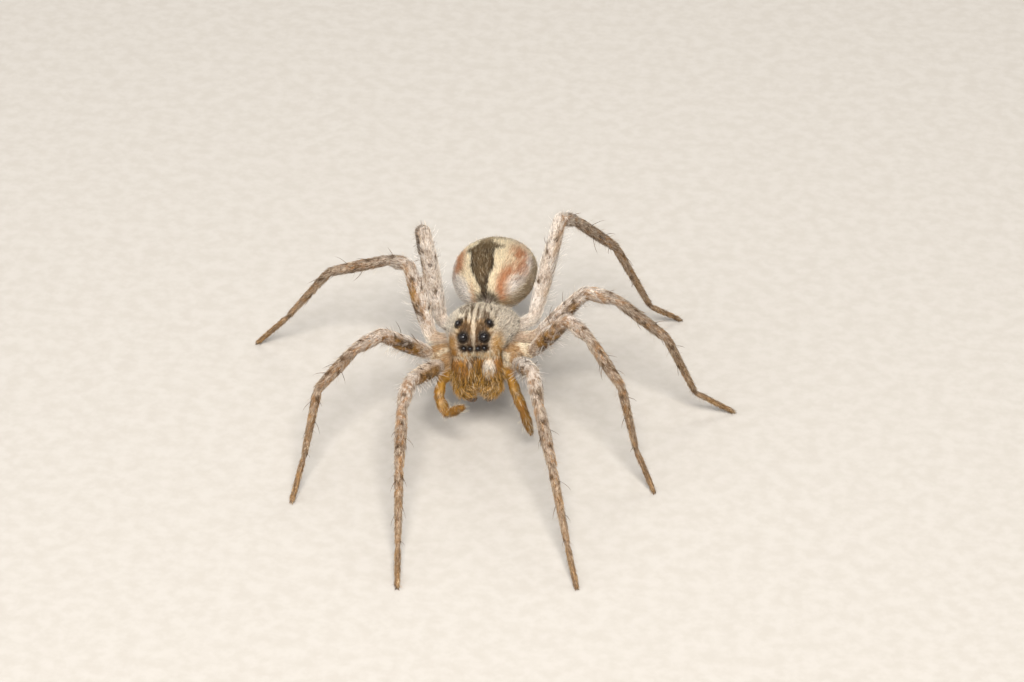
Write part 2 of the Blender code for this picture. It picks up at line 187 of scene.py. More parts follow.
# ---------------- settings


def length_setting(name, description, default):
    return FloatProperty(name=name, description=description, default=default, unit="LENGTH", precision=5)


def angle_setting(name, description, degrees):
    return FloatProperty(name=name, description=description, default=math.radians(degrees), subtype="ANGLE")


def colour_setting(name, description, default):
    return FloatVectorProperty(name=name, description=description, default=default, size=3,
                               subtype="COLOR", min=0, max=1)


class SpiderCoat(bpy.types.PropertyGroup):
    """How deep, long and dense the coat is."""

    depth: length_setting("Coat depth", "How far the skin lies inside the outline", 0.11 * MM)
    leg_depth: length_setting("Leg coat depth", "The same on the legs and palps", 0.085 * MM)
    thickness: length_setting("Hair thickness", "Width of a short hair at its root", 0.030 * MM)
    density: FloatProperty(name="Coat density", description="Scales the number of hairs",
                           default=1.0, min=0.05, max=1.2)
    seed: IntProperty(name="Seed", description="Seed of the coat's scatter", default=11)


class SpiderColours(bpy.types.PropertyGroup):
    """Colours of the coat, the shell and the eyes."""

    cream: colour_setting("Cream", "Bands beside the heart mark and the middle stripe", (0.93, 0.81, 0.58))
    white: colour_setting("White", "Flanks of the abdomen and rim of the carapace", (0.96, 0.90, 0.83))
    grey: colour_setting("Grey", "Most of the legs and the carapace", (0.74, 0.65, 0.56))
    tan: colour_setting("Tan", "The legs beyond their knees", (0.45, 0.35, 0.255))
    brown: colour_setting("Brown", "Streaks, spots and patches", (0.16, 0.085, 0.035))
    # Dark also serves as painted shade at the waist, the carapace's rear and the abdomen's front end.
    dark: colour_setting("Dark", "Edges of the marks and gaps of the coat", (0.035, 0.022, 0.012))
    heart: colour_setting("Heart mark", "Inside of the heart mark", (0.17, 0.115, 0.058))
    rust: colour_setting("Rust", "Patches on the abdomen", (0.56, 0.23, 0.095))
    olive: colour_setting("Olive", "Lower flanks of the abdomen", (0.50, 0.38, 0.22))
    ochre: colour_setting("Ochre", "Cheeks and the palps' bases", (0.56, 0.29, 0.050))
    honey: colour_setting("Honey", "Palps", (0.40, 0.205, 0.025))
    amber: colour_setting("Amber", "Jaws and palps", (0.39, 0.17, 0.012))
    gold: colour_setting("Gold", "Bristles of the jaws and the feet", (0.76, 0.44, 0.13))
    horn: colour_setting("Horn", "Fangs and claws", (0.05, 0.02, 0.01))
    lens: colour_setting("Lens", "Eyes", (0.008, 0.006, 0.006))


class SpiderStage(bpy.types.PropertyGroup):
    """Floor, lights and camera."""

    floor: colour_setting("Floor", "Colour of the floor", (0.42, 0.39, 0.35))
    azimuth: angle_setting("Azimuth", "Camera's turn to the spider's left", 5.78)
    elevation: angle_setting("Elevation", "Camera's height above the level", 34.64)
    roll: angle_setting("Roll", "Camera's turn about its own line of sight", 1.29)
    distance: length_setting("Distance", "From the lens to the spider", 0.26)
    lens: FloatProperty(name="Focal length", description="In millimetres on a 36 mm sensor",
                        default=126.14)


# ---------------- geometry helpers


def middle_of(node):
    low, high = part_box(node)
    return (low + high) / 2


def radius_of(node):
    low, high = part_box(node)
    return (high.x - low.x) / 2


def unit(vectors):
    return vectors / np.maximum(np.linalg.norm(vectors, axis=-1, keepdims=True), 1e-12)


def dots(one, two):
    return (one * two).sum(-1)


def step_up(values, low, high):
    """0 below low, 1 above high, and a smooth rise between."""
    share = np.clip((values - low) / (high - low), 0, 1)
    return share * share * (3 - 2 * share)


def bump(values, centre, width):
    return np.exp(-(((values - centre) / width) ** 2))


def body_frame():
    """Where a body place in millimetres lies in the row, as a matrix."""
    left, right = middle_of("eye_pm_L"), middle_of("eye_pm_R")
    sideways = (left - right).normalized()
    upwards = sideways.cross(LENGTHWISE)
    origin = (left + right) / 2 - upwards * EYES_ABOVE * MM + LENGTHWISE * EYES_AHEAD * MM
    turn = Matrix((sideways, LENGTHWISE, upwards)).transposed()
    return Matrix.Translation(origin) @ turn.to_4x4() @ Matrix.Scale(MM, 4)


BODY = body_frame()


def to_body(points):
    """Body places in millimetres of an array of row points."""
    inverse = np.array(BODY.inverted())
    return points @ inverse[:3, :3].T + inverse[:3, 3]


def merged(node):
    """A bmesh of a CAD node with its doubles merged, which leaves the node as it is."""
    shape = bmesh.new()
    shape.from_mesh(NODES[node].data)
    bmesh.ops.remove_doubles(shape, verts=shape.verts, dist=WELD)
    return shape


def ball(shape, place, radius, size):
    """Adds a ball at a place that is a matrix, with so many segments and rings."""
    bmesh.ops.create_uvsphere(shape, u_segments=size[0], v_segments=size[1], radius=radius, matrix=place)


def eye_ball(shape, node, growth, size):
    ball(shape, Matrix.Translation(middle_of(node)), radius_of(node) * growth, size)


def as_mesh(shape, name, smooth=True):
    """The bmesh as a new mesh; the bmesh is freed."""
    mesh = bpy.data.meshes.new(name)
    shape.to_mesh(mesh)
    shape.free()
    if smooth:
        mesh.shade_smooth()
    return mesh


def ring_middles(node, start):
    """Middles of the rings of a lofted node, from the end cap that lies nearest to start."""
    shape = merged(node)
    bmesh.ops.dissolve_limit(shape, angle_limit=CAP_ANGLE, verts=shape.verts, edges=shape.edges)
    shape.verts.index_update()
    caps = [face for face in shape.faces if len(face.verts) >= CAP_CORNERS]
    ring = set(min(caps, key=lambda face: (face.calc_center_median() - start).length).verts)
    seen = set(ring)
    middles = []
    while ring:
        ordered = sorted(ring, key=lambda vert: vert.index)
        middles.append(sum((vert.co for vert in ordered), Vector()) / len(ring))
        ring = {edge.other_vert(vert) for vert in ring for edge in vert.link_edges} - seen
        seen |= ring
    shape.free()
    return middles


class Limb:
    """A chain of joints with a back: measures how far along and round the limb a point lies."""

    def __init__(self, number, joints, across):
        self.number = number
        self.joints = np.array([list(joint) for joint in joints])
        self.runs = self.joints[1:] - self.joints[:-1]
        self.lengths = np.linalg.norm(self.runs, axis=1)
        self.ways = self.runs / self.lengths[:, None]
        self.starts = np.concatenate(([0], np.cumsum(self.lengths)[:-1]))
        self.backs = unit(np.cross(self.ways, np.array(across)))
        self.fronts = unit(np.cross(self.backs, self.ways))
        if self.fronts[:, 1].mean() > 0:
            self.fronts = -self.fronts

    def measure(self, points):
        """For each point: section, share of it, distance along, and cosines to back and front."""
        gaps = points[:, None, :] - self.joints[None, :-1, :]
        shares = np.clip(dots(gaps, self.ways[None]) / self.lengths[None], 0, 1)
        feet = self.joints[None, :-1, :] + shares[..., None] * self.runs[None]
        section = np.linalg.norm(points[:, None, :] - feet, axis=2).argmin(1)
        gap = gaps[np.arange(len(points)), section]
        way, length = self.ways[section], self.lengths[section]
        share = dots(gap, way) / length
        outward = unit(gap - (share * length)[:, None] * way)
        share = np.clip(share, 0, 1)
        return {"section": section, "share": share, "along": self.starts[section] + share * length,
                "back": dots(outward, self.backs[section]), "front": dots(outward, self.fronts[section])}


def leg_limb(number, leg):
    """A leg from its coxa, which leaves the sternum, to the tip of its tarsus."""
    start = middle_of("sternum")
    ends = []
    for section in SECTIONS:
        rings = ring_middles(f"leg_{leg}_{section}", start)
        start = rings[-1]
        ends.append((rings[0], start))
    hip = ends[0][0]
    joints = [hip + (middle_of("sternum") - hip).normalized() * COXA_LENGTH * MM, hip]
    joints += [(before[1] + after[0]) / 2 for before, after in zip(ends, ends[1:])]
    joints.append(start)
    reach = joints[-1] - joints[0]
    return Limb(number, joints, Vector((-reach.y, reach.x, 0)).normalized())


def palp_limb(number, side):
    joints = ring_middles(f"palp_{side}", middle_of("sternum"))[::2]
    return Limb(number, joints, Vector((-joints[3].y + joints[0].y, joints[3].x - joints[0].x, 0)))


def chelicera_limb(number, side):
    rings = ring_middles(f"chelicera_{side}", middle_of("carapace"))
    return Limb(number, (rings[0], rings[-1]), Vector((1, 0, 0)))


LIMBS = {leg_name: leg_limb(place, leg_name) for place, leg_name in enumerate(LEGS)}
for place, side_name in enumerate(SIDES, len(LEGS)):
    LIMBS[f"palp_{side_name}"] = palp_limb(place, side_name)
    LIMBS[f"chelicera_{side_name}"] = chelicera_limb(place + len(SIDES), side_name)

# Parts of the skin: every limb, then the plates and bags of the body.
PARTS = (*LIMBS, "carapace", "sternum", "pedicel", "abdomen", "spinnerets")

# Each part's cell on the unwrap: left, bottom, right, top.
CELLS = {leg_name: (place / 8, 0.0, (place + 1) / 8, 0.5) for place, leg_name in enumerate(LEGS)}
CELLS.update({
    "abdomen": (0.0, 0.5, 0.36, 1.0),
    "carapace": (0.36, 0.5, 0.62, 1.0),
    "sternum": (0.62, 0.5, 0.78, 1.0),
    "chelicera_L": (0.78, 0.5, 0.86, 0.75),
    "chelicera_R": (0.86, 0.5, 0.94, 0.75),
    "palp_L": (0.78, 0.75, 0.86, 1.0),
    "palp_R": (0.86, 0.75, 0.94, 1.0),
    "spinnerets": (0.94, 0.5, 1.0, 0.75),
    "pedicel": (0.94, 0.75, 1.0, 1.0),
})
CELL_MARGIN = 0.06
TUFT_PATCH = 0.003


def rows_by_part(owner):
    """Each part that owns rows, with those rows."""
    for number, part in enumerate(PARTS):
        rows = np.flatnonzero(owner == number)
        if len(rows):
            yield part, rows


def chart(part, points):
    """Each point's place on its part's own unwrap: share of the way round, and share along."""
    if part in LIMBS:
        found = LIMBS[part].measure(points)
        turn, share = np.arctan2(found["front"], found["back"]), found["along"] / LIMBS[part].lengths.sum()
    else:
        low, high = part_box(part)
        offset = (points - np.array((low + high) / 2)) / np.array((high - low) / 2)
        turn = np.arctan2(offset[:, 0], offset[:, 2])
        share = np.arccos(np.clip(-unit(offset)[:, 1], -1, 1)) / math.pi
    return np.stack((turn / TAU + 0.5, share), 1)


def on_map(part, places):
    """Carries places on a part's own unwrap into the part's cell."""
    left, bottom, right, top = CELLS[part]
    shares = CELL_MARGIN + (1 - 2 * CELL_MARGIN) * places
    return np.array((left, bottom)) + shares * np.array((right - left, top - bottom))


# ---------------- mesh arrays


# An attribute's type and field by how many numbers it holds for each point.
KINDS = {1: ("FLOAT", "value"), 3: ("FLOAT_VECTOR", "vector"), 4: ("FLOAT_COLOR", "color")}


def pull(items, field, width=1, kind=np.int32):
    """A field of mesh items as an array, with a row for each item that holds several numbers."""
    flat = np.empty(len(items) * width, kind)
    items.foreach_get(field, flat)
    return flat.reshape(-1, width) if width > 1 else flat


def coordinates(mesh):
    return pull(mesh.vertices, "co", 3, np.float32).astype(float)


def normals_of(mesh):
    return pull(mesh.vertex_normals, "vector", 3, np.float32).astype(float)


def push(items, field, values, kind=np.float32):
    items.foreach_set(field, np.ascontiguousarray(values, kind).ravel())


def store(mesh, name, values):
    """Writes an attribute on the mesh's points."""
    kind, field = KINDS[values.size // len(values)]
    push(mesh.attributes.new(name, kind, "POINT").data, field, values)


def stored(mesh, name, width):
    return pull(mesh.attributes[name].data, KINDS[width][1], width, np.float32).astype(float)


def spread(values, edges, times):
    """Evens out values over neighbouring vertices."""
    values = values.astype(float).reshape(len(values), -1)
    count = len(values)
    degree = np.bincount(edges.ravel(), minlength=count)[:, None]
    for _ in range(times):
        total = np.stack([np.bincount(edges[:, 0], column[edges[:, 1]], count)
                          + np.bincount(edges[:, 1], column[edges[:, 0]], count)
                          for column in values.T], 1)
        values = (values + total / np.maximum(degree, 1)) / 2
    return values


def add_piece(name, mesh, material, slot, replaced=()):
    """Makes a finished piece that rides on the body, and hides the parts it replaces; its slot is not used.
    """
    mesh.materials.clear()
    mesh.materials.append(material)
    piece = bpy.data.objects.new(name, mesh)
    bpy.context.scene.collection.objects.link(piece)
    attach(piece, "root")
    if replaced:
        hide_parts(*replaced)


# ---------------- material graphs


class Wire:
    """A node's output, with the arithmetic, masks and mixes that add the nodes they need."""

    def __init__(self, graph, socket):
        self.graph, self.socket = graph, socket

    def math(self, operation, other=None, clamp=False):
        return self.graph.add("ShaderNodeMath", {0: self, 1: other}, operation=operation, use_clamp=clamp)

    __add__ = partialmethod(math, "ADD")
    __sub__ = partialmethod(math, "SUBTRACT")
    __mul__ = partialmethod(math, "MULTIPLY")
    __abs__ = partialmethod(math, "ABSOLUTE")
    # The larger of two masks shows wherever either does.
    __or__ = partialmethod(math, "MAXIMUM")

    def __rsub__(self, other):
        return self.graph.add("ShaderNodeMath", {0: other, 1: self}, operation="SUBTRACT")

    def rise(self, low, high, start=0.0, end=1.0):
        """A smooth change from start to end as the value goes from low to high."""
        return self.graph.add("ShaderNodeMapRange", dict(enumerate((self, low, high, start, end))),
                              interpolation_type="SMOOTHSTEP")

    def fall(self, low, high):
        return self.rise(low, high, 1.0, 0.0)

    def hill(self, centre, width):
        """1 at the centre and 0 at width away from it."""
        return abs(self - centre).fall(0.0, width)

    def mix(self, share, other):
        return self.graph.mix(share, self, other)

    def under(self, *layers):
        """The colour under layers that are each a mask and a colour."""
        for share, other in layers:
            self = self.mix(share, other)
        return self

    def split(self, kind="XYZ"):
        return [Wire(self.graph, socket)
                for socket in self.graph.add(f"ShaderNodeSeparate{kind}", {0: self}).socket.node.outputs]

    def vector(self, operation, other=None, output=0):
        return self.graph.add("ShaderNodeVectorMath", {0: self, 1: other}, output, operation=operation)

    def noise(self, scale, detail=2.0, stretch=(1, 1, 1)):
        """A value of noise about 0.5; stretch scales each direction of the pattern."""
        inputs = {"Vector": self.vector("MULTIPLY", stretch), "Scale": scale, "Detail": detail}
        return self.graph.add("ShaderNodeTexNoise", inputs | {"Roughness": NOISE_ROUGHNESS})

    def mirrored(self):
        """The place with its sideways part taken without its sign."""
        x, y, z = self.split()
        return self.graph.add("ShaderNodeCombineXYZ", {0: abs(x), 1: y, 2: z})

    def share_out(self, centre, half):
        """How far out a place lies from the centre of an ellipsoid of body millimetres, with 1 on it."""
        scaled = self.vector("SUBTRACT", centre).vector("MULTIPLY", [1 / size for size in half])
        return scaled.vector("LENGTH", output="Value")

    def within(self, centre, half, edge=0.3):
        """1 inside an ellipsoid of body millimetres and 0 outside it, with a soft edge."""
        return self.share_out(centre, half).fall(1 - edge, 1 + edge)


class Graph:
    """Adds and links nodes in a tree. A colour is a wire or the name of a colour setting."""

    def __init__(self, tree):
        self.tree = tree

    def put(self, socket, value):
        if isinstance(value, Wire):
            self.tree.links.new(value.socket, socket)
        elif value is not None:
            socket.default_value = colour(value) if isinstance(value, str) else value

    def add(self, kind, inputs=None, output=0, **settings):
        node = self.tree.nodes.new(kind)
        for key, value in settings.items():
            setattr(node, key, value)
        for key, value in (inputs or {}).items():
            self.put(node.inputs[key], value)
        return Wire(self, node.outputs[output])

    def mix(self, share, one, two, blend="MIX"):
        return self.add("ShaderNodeMix", {0: share, 6: one, 7: two}, 2, data_type="RGBA", blend_type=blend,
                        clamp_factor=True)

    def read(self, name, output="Vector"):
        return self.add("ShaderNodeAttribute", None, output, attribute_name=name)

    def group(self, name, build, **values):
        """Places the node group of that name, which build makes when it is first used."""
        tree = bpy.data.node_groups.get(name) or colour_group(name, build, values)
        return self.add("ShaderNodeGroup", values, node_tree=tree)


SOCKETS = {"Place": "Vector", "Limb": "Vector", "Kind": "Color", "Palp": "Float", "Spot": "Float"}


def colour_group(name, build, labels):
    """A shader node group that puts out the colour that build makes of the inputs with those labels."""
    tree = bpy.data.node_groups.new(name, "ShaderNodeTree")
    for label in labels:
        tree.interface.new_socket(label, in_out="INPUT", socket_type=f"NodeSocket{SOCKETS[label]}")
    tree.interface.new_socket("Colour", in_out="OUTPUT", socket_type="NodeSocketColor")
    graph = Graph(tree)
    given = tree.nodes.new("NodeGroupInput").outputs
    result = tree.nodes.new("NodeGroupOutput").inputs["Colour"]
    graph.put(result, build(graph, *(Wire(graph, given[label]) for label in labels)))
    return tree


def colour(name):
    return (*getattr(bpy.context.scene.spider_colours, name), 1)


# ---------------- skin


def flesh_mesh():
    """All the flesh as one mesh in millimetres, grown over its cuts and filled between its plates."""
    whole = bmesh.new()
    for node in FLESH:
        part = merged(node)
        part.normal_update()
        if node.startswith("leg_") or node == "sternum":
            for vert in part.verts:
                vert.co += vert.normal * SEAM_GROWTH * MM
        holder = as_mesh(part, node, False)
        whole.from_mesh(holder)
        bpy.data.meshes.remove(holder)
    for (sideways, behind, up), half in LUMPS:
        for side in SIDES.values() if sideways else (1,):
            place = BODY @ Matrix.Translation((side * sideways, behind, up)) @ Matrix.Diagonal((*half, 1))
            ball(whole, place, 1, LUMP_BALL)
    for node in EYES:
        eye_ball(whole, node, EYE_FILL, SOCKET_BALL)
    bmesh.ops.scale(whole, vec=(1 / MM,) * 3, verts=whole.verts)
    return as_mesh(whole, "flesh", False)


def rebuilt(mesh, grid):
    """The mesh's outer surface on an even grid."""
    holder = bpy.data.objects.new("rebuild", mesh)
    bpy.context.scene.collection.objects.link(holder)
    modifier = holder.modifiers.new("grid", "REMESH")
    modifier.mode = "VOXEL"
    modifier.voxel_size = grid
    result = bpy.data.meshes.new_from_object(holder.evaluated_get(bpy.context.evaluated_depsgraph_get()))
    bpy.data.objects.remove(holder)
    bpy.data.meshes.remove(mesh)
    return result


def flesh_tree():
    """A search tree over the flesh, with the number of the part that owns each of its faces."""
    points, faces, owners = [], [], []
    for node in FLESH:
        mesh = NODES[node].data
        start = len(points)
        points += [vert.co / MM for vert in mesh.vertices]
        faces += [[start + corner for corner in face.vertices] for face in mesh.polygons]
        owners += [PARTS.index(node[4:6] if node.startswith("leg_") else node)] * len(mesh.polygons)
    return BVHTree.FromPolygons(points, faces), owners


def smooth_skin(shape, owner, chosen, times):
    verts = [vert for vert, number in zip(shape.verts, owner) if PARTS[number] in chosen]
    for _ in range(times):
        bmesh.ops.smooth_vert(shape, verts=verts, factor=0.5, use_axis_x=True, use_axis_y=True,
                              use_axis_z=True)


def project(ways, normals):
    """Ways laid flat on the surface."""
    return unit(ways - dots(ways, normals)[:, None] * normals)


def body_ways(part, places):
    """The way the coat lies on a plate or bag, as row directions, for places in body millimetres."""
    ways = np.tile((0.0, 1.0, 0.0), (len(places), 1))
    aside = np.abs(places[:, 0])
    if part == "carapace":
        face = step_up(-places[:, 1], 2.5, 3.1) * step_up(-places[:, 2], -1.1, -0.7)
        ways = np.stack((0.12 * places[:, 0], 1 - 1.1 * face, -face - 0.25 * step_up(aside, 1.5, 2.8)), 1)
    if part == "abdomen":
        ways[:, 2] = -0.30 * step_up(aside, 1.0, 3.0)
    return unit(ways @ np.array(BODY.to_3x3()).T)


def limb_fields(found, limb, rows, points, normals):
    """Fills in what the coat and the marks read at the rows that lie on a limb."""
    measured = limb.measure(points[rows])
    section, share = measured["section"], measured["share"]
    feet = limb.joints[section] + (share * limb.lengths[section])[:, None] * limb.ways[section]
    out = np.linalg.norm(points[rows] - feet, axis=1) / MM
    found["lie"][rows] = project(limb.ways[section], normals[rows])
    found["place"][rows] = np.stack((measured["back"] * out + LIMB_STEP * limb.number,
                                     measured["along"] / MM, measured["front"] * out), 1)
    sections = len(limb.lengths)
    reach = (section + share) * (1 if sections == 1 else REACH_END / sections)
    found["limb"][rows] = np.stack((reach, measured["back"], measured["front"]), 1)


def coxa_rows(limb, rows, points):
    """The rows of the sternum that lie on a leg's coxa."""
    gaps = points[rows] - limb.joints[0]
    measured = limb.measure(points[rows])
    near = (np.linalg.norm(gaps, axis=1) < limb.lengths[0] * COXA_SPAN) & (measured["section"] == 0)
    aside = np.linalg.norm(np.cross(gaps, limb.ways[0]), axis=1)
    return rows[near & (measured["share"] > COXA_START) & (aside < COXA_REACH * MM)]


def fields(points, normals, owner):
    """What the coat and the marks read at each point of the skin, by the part that owns it."""
    count = len(points)
    body = to_body(points)
    found = {"lie": np.zeros((count, 3)), "place": body.copy(), "part": owner, "body": body,
             "limb": np.tile((-1.0, 0.0, 0.0), (count, 1)), "kind": np.zeros((count, len(MARKED)))}
    for part, rows in rows_by_part(owner):
        if part in LIMBS:
            limb_fields(found, LIMBS[part], rows, points, normals)
        else:
            found["lie"][rows] = project(body_ways(part, body[rows]), normals[rows])
        for channel, marked in enumerate(MARKED):
            found["kind"][rows, channel] = part.startswith(marked)
        if part.startswith("chelicera"):
            found["place"][rows] = body[rows]
        if part == "sternum":
            for leg in LEGS:
                limb_fields(found, LIMBS[leg], coxa_rows(LIMBS[leg], rows, points), points, normals)
    return found


def pinch(points, owner):
    """How far the skin draws in at the joints of the legs and palps, in millimetres."""
    depth = np.zeros(len(points))
    for part in (*LEGS, "palp_L", "palp_R"):
        rows = np.flatnonzero(owner == PARTS.index(part))
        along = LIMBS[part].measure(points[rows])["along"]
        for joint in LIMBS[part].starts[1:]:
            depth[rows] += JOINT_PINCH * bump(along, joint, JOINT_PINCH_LENGTH * MM)
    return depth


def grooves(places):
    """Depth in millimetres of the grooves that run out over the carapace from its middle."""
    x, y = np.abs(places[:, 0]), places[:, 1] - FOVEA_BEHIND
    run = np.hypot(x, y)
    bearing = np.arctan2(x, -y)
    start, end = GROOVE_REACH
    shown = step_up(run, start * 0.5, start) * step_up(-run, -end - 0.5, -end)
    depth = sum(bump(run * (bearing - math.radians(degrees)), 0, GROOVE_WIDTH)
                for degrees in GROOVE_BEARINGS)
    middle = 1.3 * bump(x, 0, GROOVE_WIDTH) * bump(y, 0, 0.5)
    return GROOVE_DEPTH * (depth * shown + middle) * step_up(places[:, 2], 1.0, 1.6)


def coat_depths(kind):
    """How far the skin lies inside the outline, in metres."""
    coat = bpy.context.scene.spider_coat
    depth = coat.leg_depth + (coat.depth - coat.leg_depth) * kind[:, :2].sum(1)
    return depth * (1 - PALP_THINNING * kind[:, 3])


def add_unwrap(mesh, owner):
    """The unwrap that the skin and its coat share, as the map OFBake."""
    points = coordinates(mesh)
    corners = pull(mesh.loops, "vertex_index")
    starts = pull(mesh.polygons, "loop_start")
    face_of = np.searchsorted(starts, np.arange(len(corners)), side="right") - 1
    owners = owner[corners[starts]][face_of]
    unwrap = np.zeros((len(corners), 2))
    for part, rows in rows_by_part(owners):
        places = chart(part, points[corners[rows]])
        # A face that crosses the seam stays on the side of its first corner.
        first = places[np.searchsorted(rows, starts[face_of[rows]]), 0]
        places[:, 0] -= np.round(places[:, 0] - first)
        unwrap[rows] = on_map(part, places)
    push(mesh.uv_layers.new(name="OFBake").data, "uv", unwrap)


def make_skin():
    tree, owners = flesh_tree()
    mesh = rebuilt(flesh_mesh(), SKIN_GRID)
    shape = bmesh.new()
    shape.from_mesh(mesh)
    owner = [owners[tree.find_nearest(vert.co)[2]] for vert in shape.verts]
    smooth_skin(shape, owner, PARTS, LIMB_SMOOTHINGS)
    smooth_skin(shape, owner, ("carapace", "abdomen"), BODY_SMOOTHINGS)
    bmesh.ops.scale(shape, vec=(MM,) * 3, verts=shape.verts)
    bpy.data.meshes.remove(mesh)
    mesh = as_mesh(shape, "spider_skin")
    owner = np.array(owner)
    points, normals, edges = coordinates(mesh), normals_of(mesh), pull(mesh.edges, "vertices", 2)
    found = fields(points, normals, owner)
    inward = coat_depths(found["kind"]) / MM + pinch(points, owner)
    inward += grooves(found["body"]) * found["kind"][:, 0]
    inward += np.isin(owner, [PARTS.index(part) for part in (*LEGS, "sternum")]) * SEAM_GROWTH
    points -= normals * (spread(inward, edges, DEPTH_SMOOTHINGS) * MM)
    push(mesh.vertices, "co", points)
    mesh.update()
    found["kind"] = spread(found["kind"], edges, KIND_SMOOTHINGS)
    for name in ("place", "limb", "lie", "kind", "part"):
        store(mesh, name, found[name])
    add_unwrap(mesh, owner)
    return mesh


# ---------------- coat


ROOT_FIELDS = ("place", "limb", "kind", "part", "body")


class Surface:
    """The finished skin as arrays, from which hairs are rooted."""

    def __init__(self, mesh):
        self.points, self.normals = coordinates(mesh), normals_of(mesh)
        self.place, self.limb, self.lie = (stored(mesh, name, 3) for name in ("place", "limb", "lie"))
        self.kind = stored(mesh, "kind", len(MARKED))
        self.part = stored(mesh, "part", 1).round().astype(int)
        self.body = to_body(self.points)
        mesh.calc_loop_triangles()
        self.triangles = pull(mesh.loop_triangles, "vertices", 3)
        one, two, three = self.points[self.triangles].transpose(1, 0, 2)
        self.areas = np.linalg.norm(np.cross(two - one, three - one), axis=1) / 2
        self.first = self.triangles[:, 0]
        self.reach = self.limb[self.first, 0]
        self.tree = BVHTree.FromPolygons(self.points.tolist(), self.triangles.tolist())

    def in_parts(self, *names):
        """1 on the triangles of the parts whose names start so, and 0 elsewhere."""
        numbers = [number for number, part in enumerate(PARTS) if part.startswith(names)]
        return np.isin(self.part[self.first], numbers).astype(float)

    def roots(self, density, rng):
        """Random roots with so many for each square millimetre of each triangle."""
        wanted = self.areas / MM**2 * density * bpy.context.scene.spider_coat.density
        counts = np.floor(wanted + rng.random(len(wanted))).astype(int)
        corners = self.triangles[np.repeat(np.arange(len(counts)), counts)]
        one, two = rng.random(len(corners)), rng.random(len(corners))
        turned = one + two > 1
        one[turned], two[turned] = 1 - one[turned], 1 - two[turned]
        weights = np.stack((1 - one - two, one, two), 1)
        nearest = corners[np.arange(len(corners)), weights.argmax(1)]
        result = {"point": (self.points[corners] * weights[..., None]).sum(1),
                  "normal": unit((self.normals[corners] * weights[..., None]).sum(1)),
                  "way": unit((self.lie[corners] * weights[..., None]).sum(1))}
        return result | {name: getattr(self, name)[nearest] for name in ROOT_FIELDS}

    def root_at(self, start, outward, way, normal):
        """A list of the root where a line from inside the skin leaves it, which is empty if it misses."""
        place, _, triangle, _ = self.tree.ray_cast(Vector(start), Vector(outward))
        if place is None:
            return []
        corner = self.first[triangle]
        return [{"point": np.array(place), "way": way, "normal": normal}
                | {name: getattr(self, name)[corner] for name in ROOT_FIELDS}]


def joined_roots(roots):
    return {name: np.array([root[name] for root in roots]) for name in roots[0]}


def needle(rings):
    """A thin three-sided point of height 1, cut into rings: heights, sideways places and triangles."""
    shape = bmesh.new()
    bmesh.ops.create_cone(shape, segments=3, radius1=1, radius2=0, depth=1,
                          matrix=Matrix.Translation((0, 0, 0.5)))
    bmesh.ops.remove_doubles(shape, verts=shape.verts, dist=0.001)
    for ring in range(1, rings):
        bmesh.ops.bisect_plane(shape, geom=shape.verts[:] + shape.edges[:] + shape.faces[:],
                               plane_co=(0, 0, ring / rings), plane_no=(0, 0, 1))
    bmesh.ops.triangulate(shape, faces=shape.faces)
    shape.verts.index_update()
    corners = np.array([vert.co for vert in shape.verts])
    triangles = np.array([[vert.index for vert in face.verts] for face in shape.faces])
    shape.free()
    heights = corners[:, 2]
    around = corners[:, :2] / np.maximum(1 - heights, 0.01)[:, None]
    around[heights > 0.99] = 0
    return heights, around, triangles


def strand_mesh(name, roots, rng, length, width, tilt, rings=2, bow=0.30, jitter=14.0, taper=1.4, curl=0.0):
    """One mesh of needles at the roots: length and width in millimetres, tilt in degrees from the skin."""
    count = len(roots["point"])
    heights, around, triangles = needle(rings)
    per = len(heights)
    turn = np.radians(rng.normal(0, jitter, count))[:, None]
    side = np.cross(roots["way"], roots["normal"])
    way = unit(roots["way"] * np.cos(turn) + side * np.sin(turn))
    side = np.cross(way, roots["normal"])
    length, width, tilt = (np.broadcast_to(value, count)[:, None, None] for value in (length, width, tilt))
    tilt = np.radians(tilt)
    share = heights[None, :, None]
    rise = np.sin(tilt) * (share + bow * share * (1 - share) * 2) - curl * share**2
    spine = length * MM * (np.cos(tilt) * share * way[:, None] + rise * roots["normal"][:, None])
    offset = around[None, :, :1] * side[:, None] + around[None, :, 1:] * roots["normal"][:, None]
    points = (roots["point"][:, None] + spine + width * MM / 2 * (1 - share**taper) * offset).reshape(-1, 3)
    points[:, 2] = np.maximum(points[:, 2], FLOOR_GAP * MM)
    faces = (triangles[None] + (np.arange(count) * per)[:, None, None]).reshape(-1, 3)
    mesh = bpy.data.meshes.new(name)
    mesh.vertices.add(len(points))
    push(mesh.vertices, "co", points)
    mesh.loops.add(faces.size)
    push(mesh.loops, "vertex_index", faces, np.int32)
    mesh.polygons.add(len(faces))
    push(mesh.polygons, "loop_start", np.arange(0, faces.size, 3), np.int32)
    mesh.update(calc_edges=True)
    mesh.shade_smooth()
    for label in ("place", "limb", "kind"):
        store(mesh, label, np.repeat(roots[label], per, 0))
    # A strand knows how far along itself a point lies, and two chances of its own.
    strand = np.empty((count, per, 3))
    strand[:, :, 0] = heights
    strand[:, :, 1:] = rng.random((count, 2))[:, None]
    store(mesh, "strand", strand.reshape(-1, 3))
    strand_unwrap(mesh, roots, heights, around, faces)
    return mesh


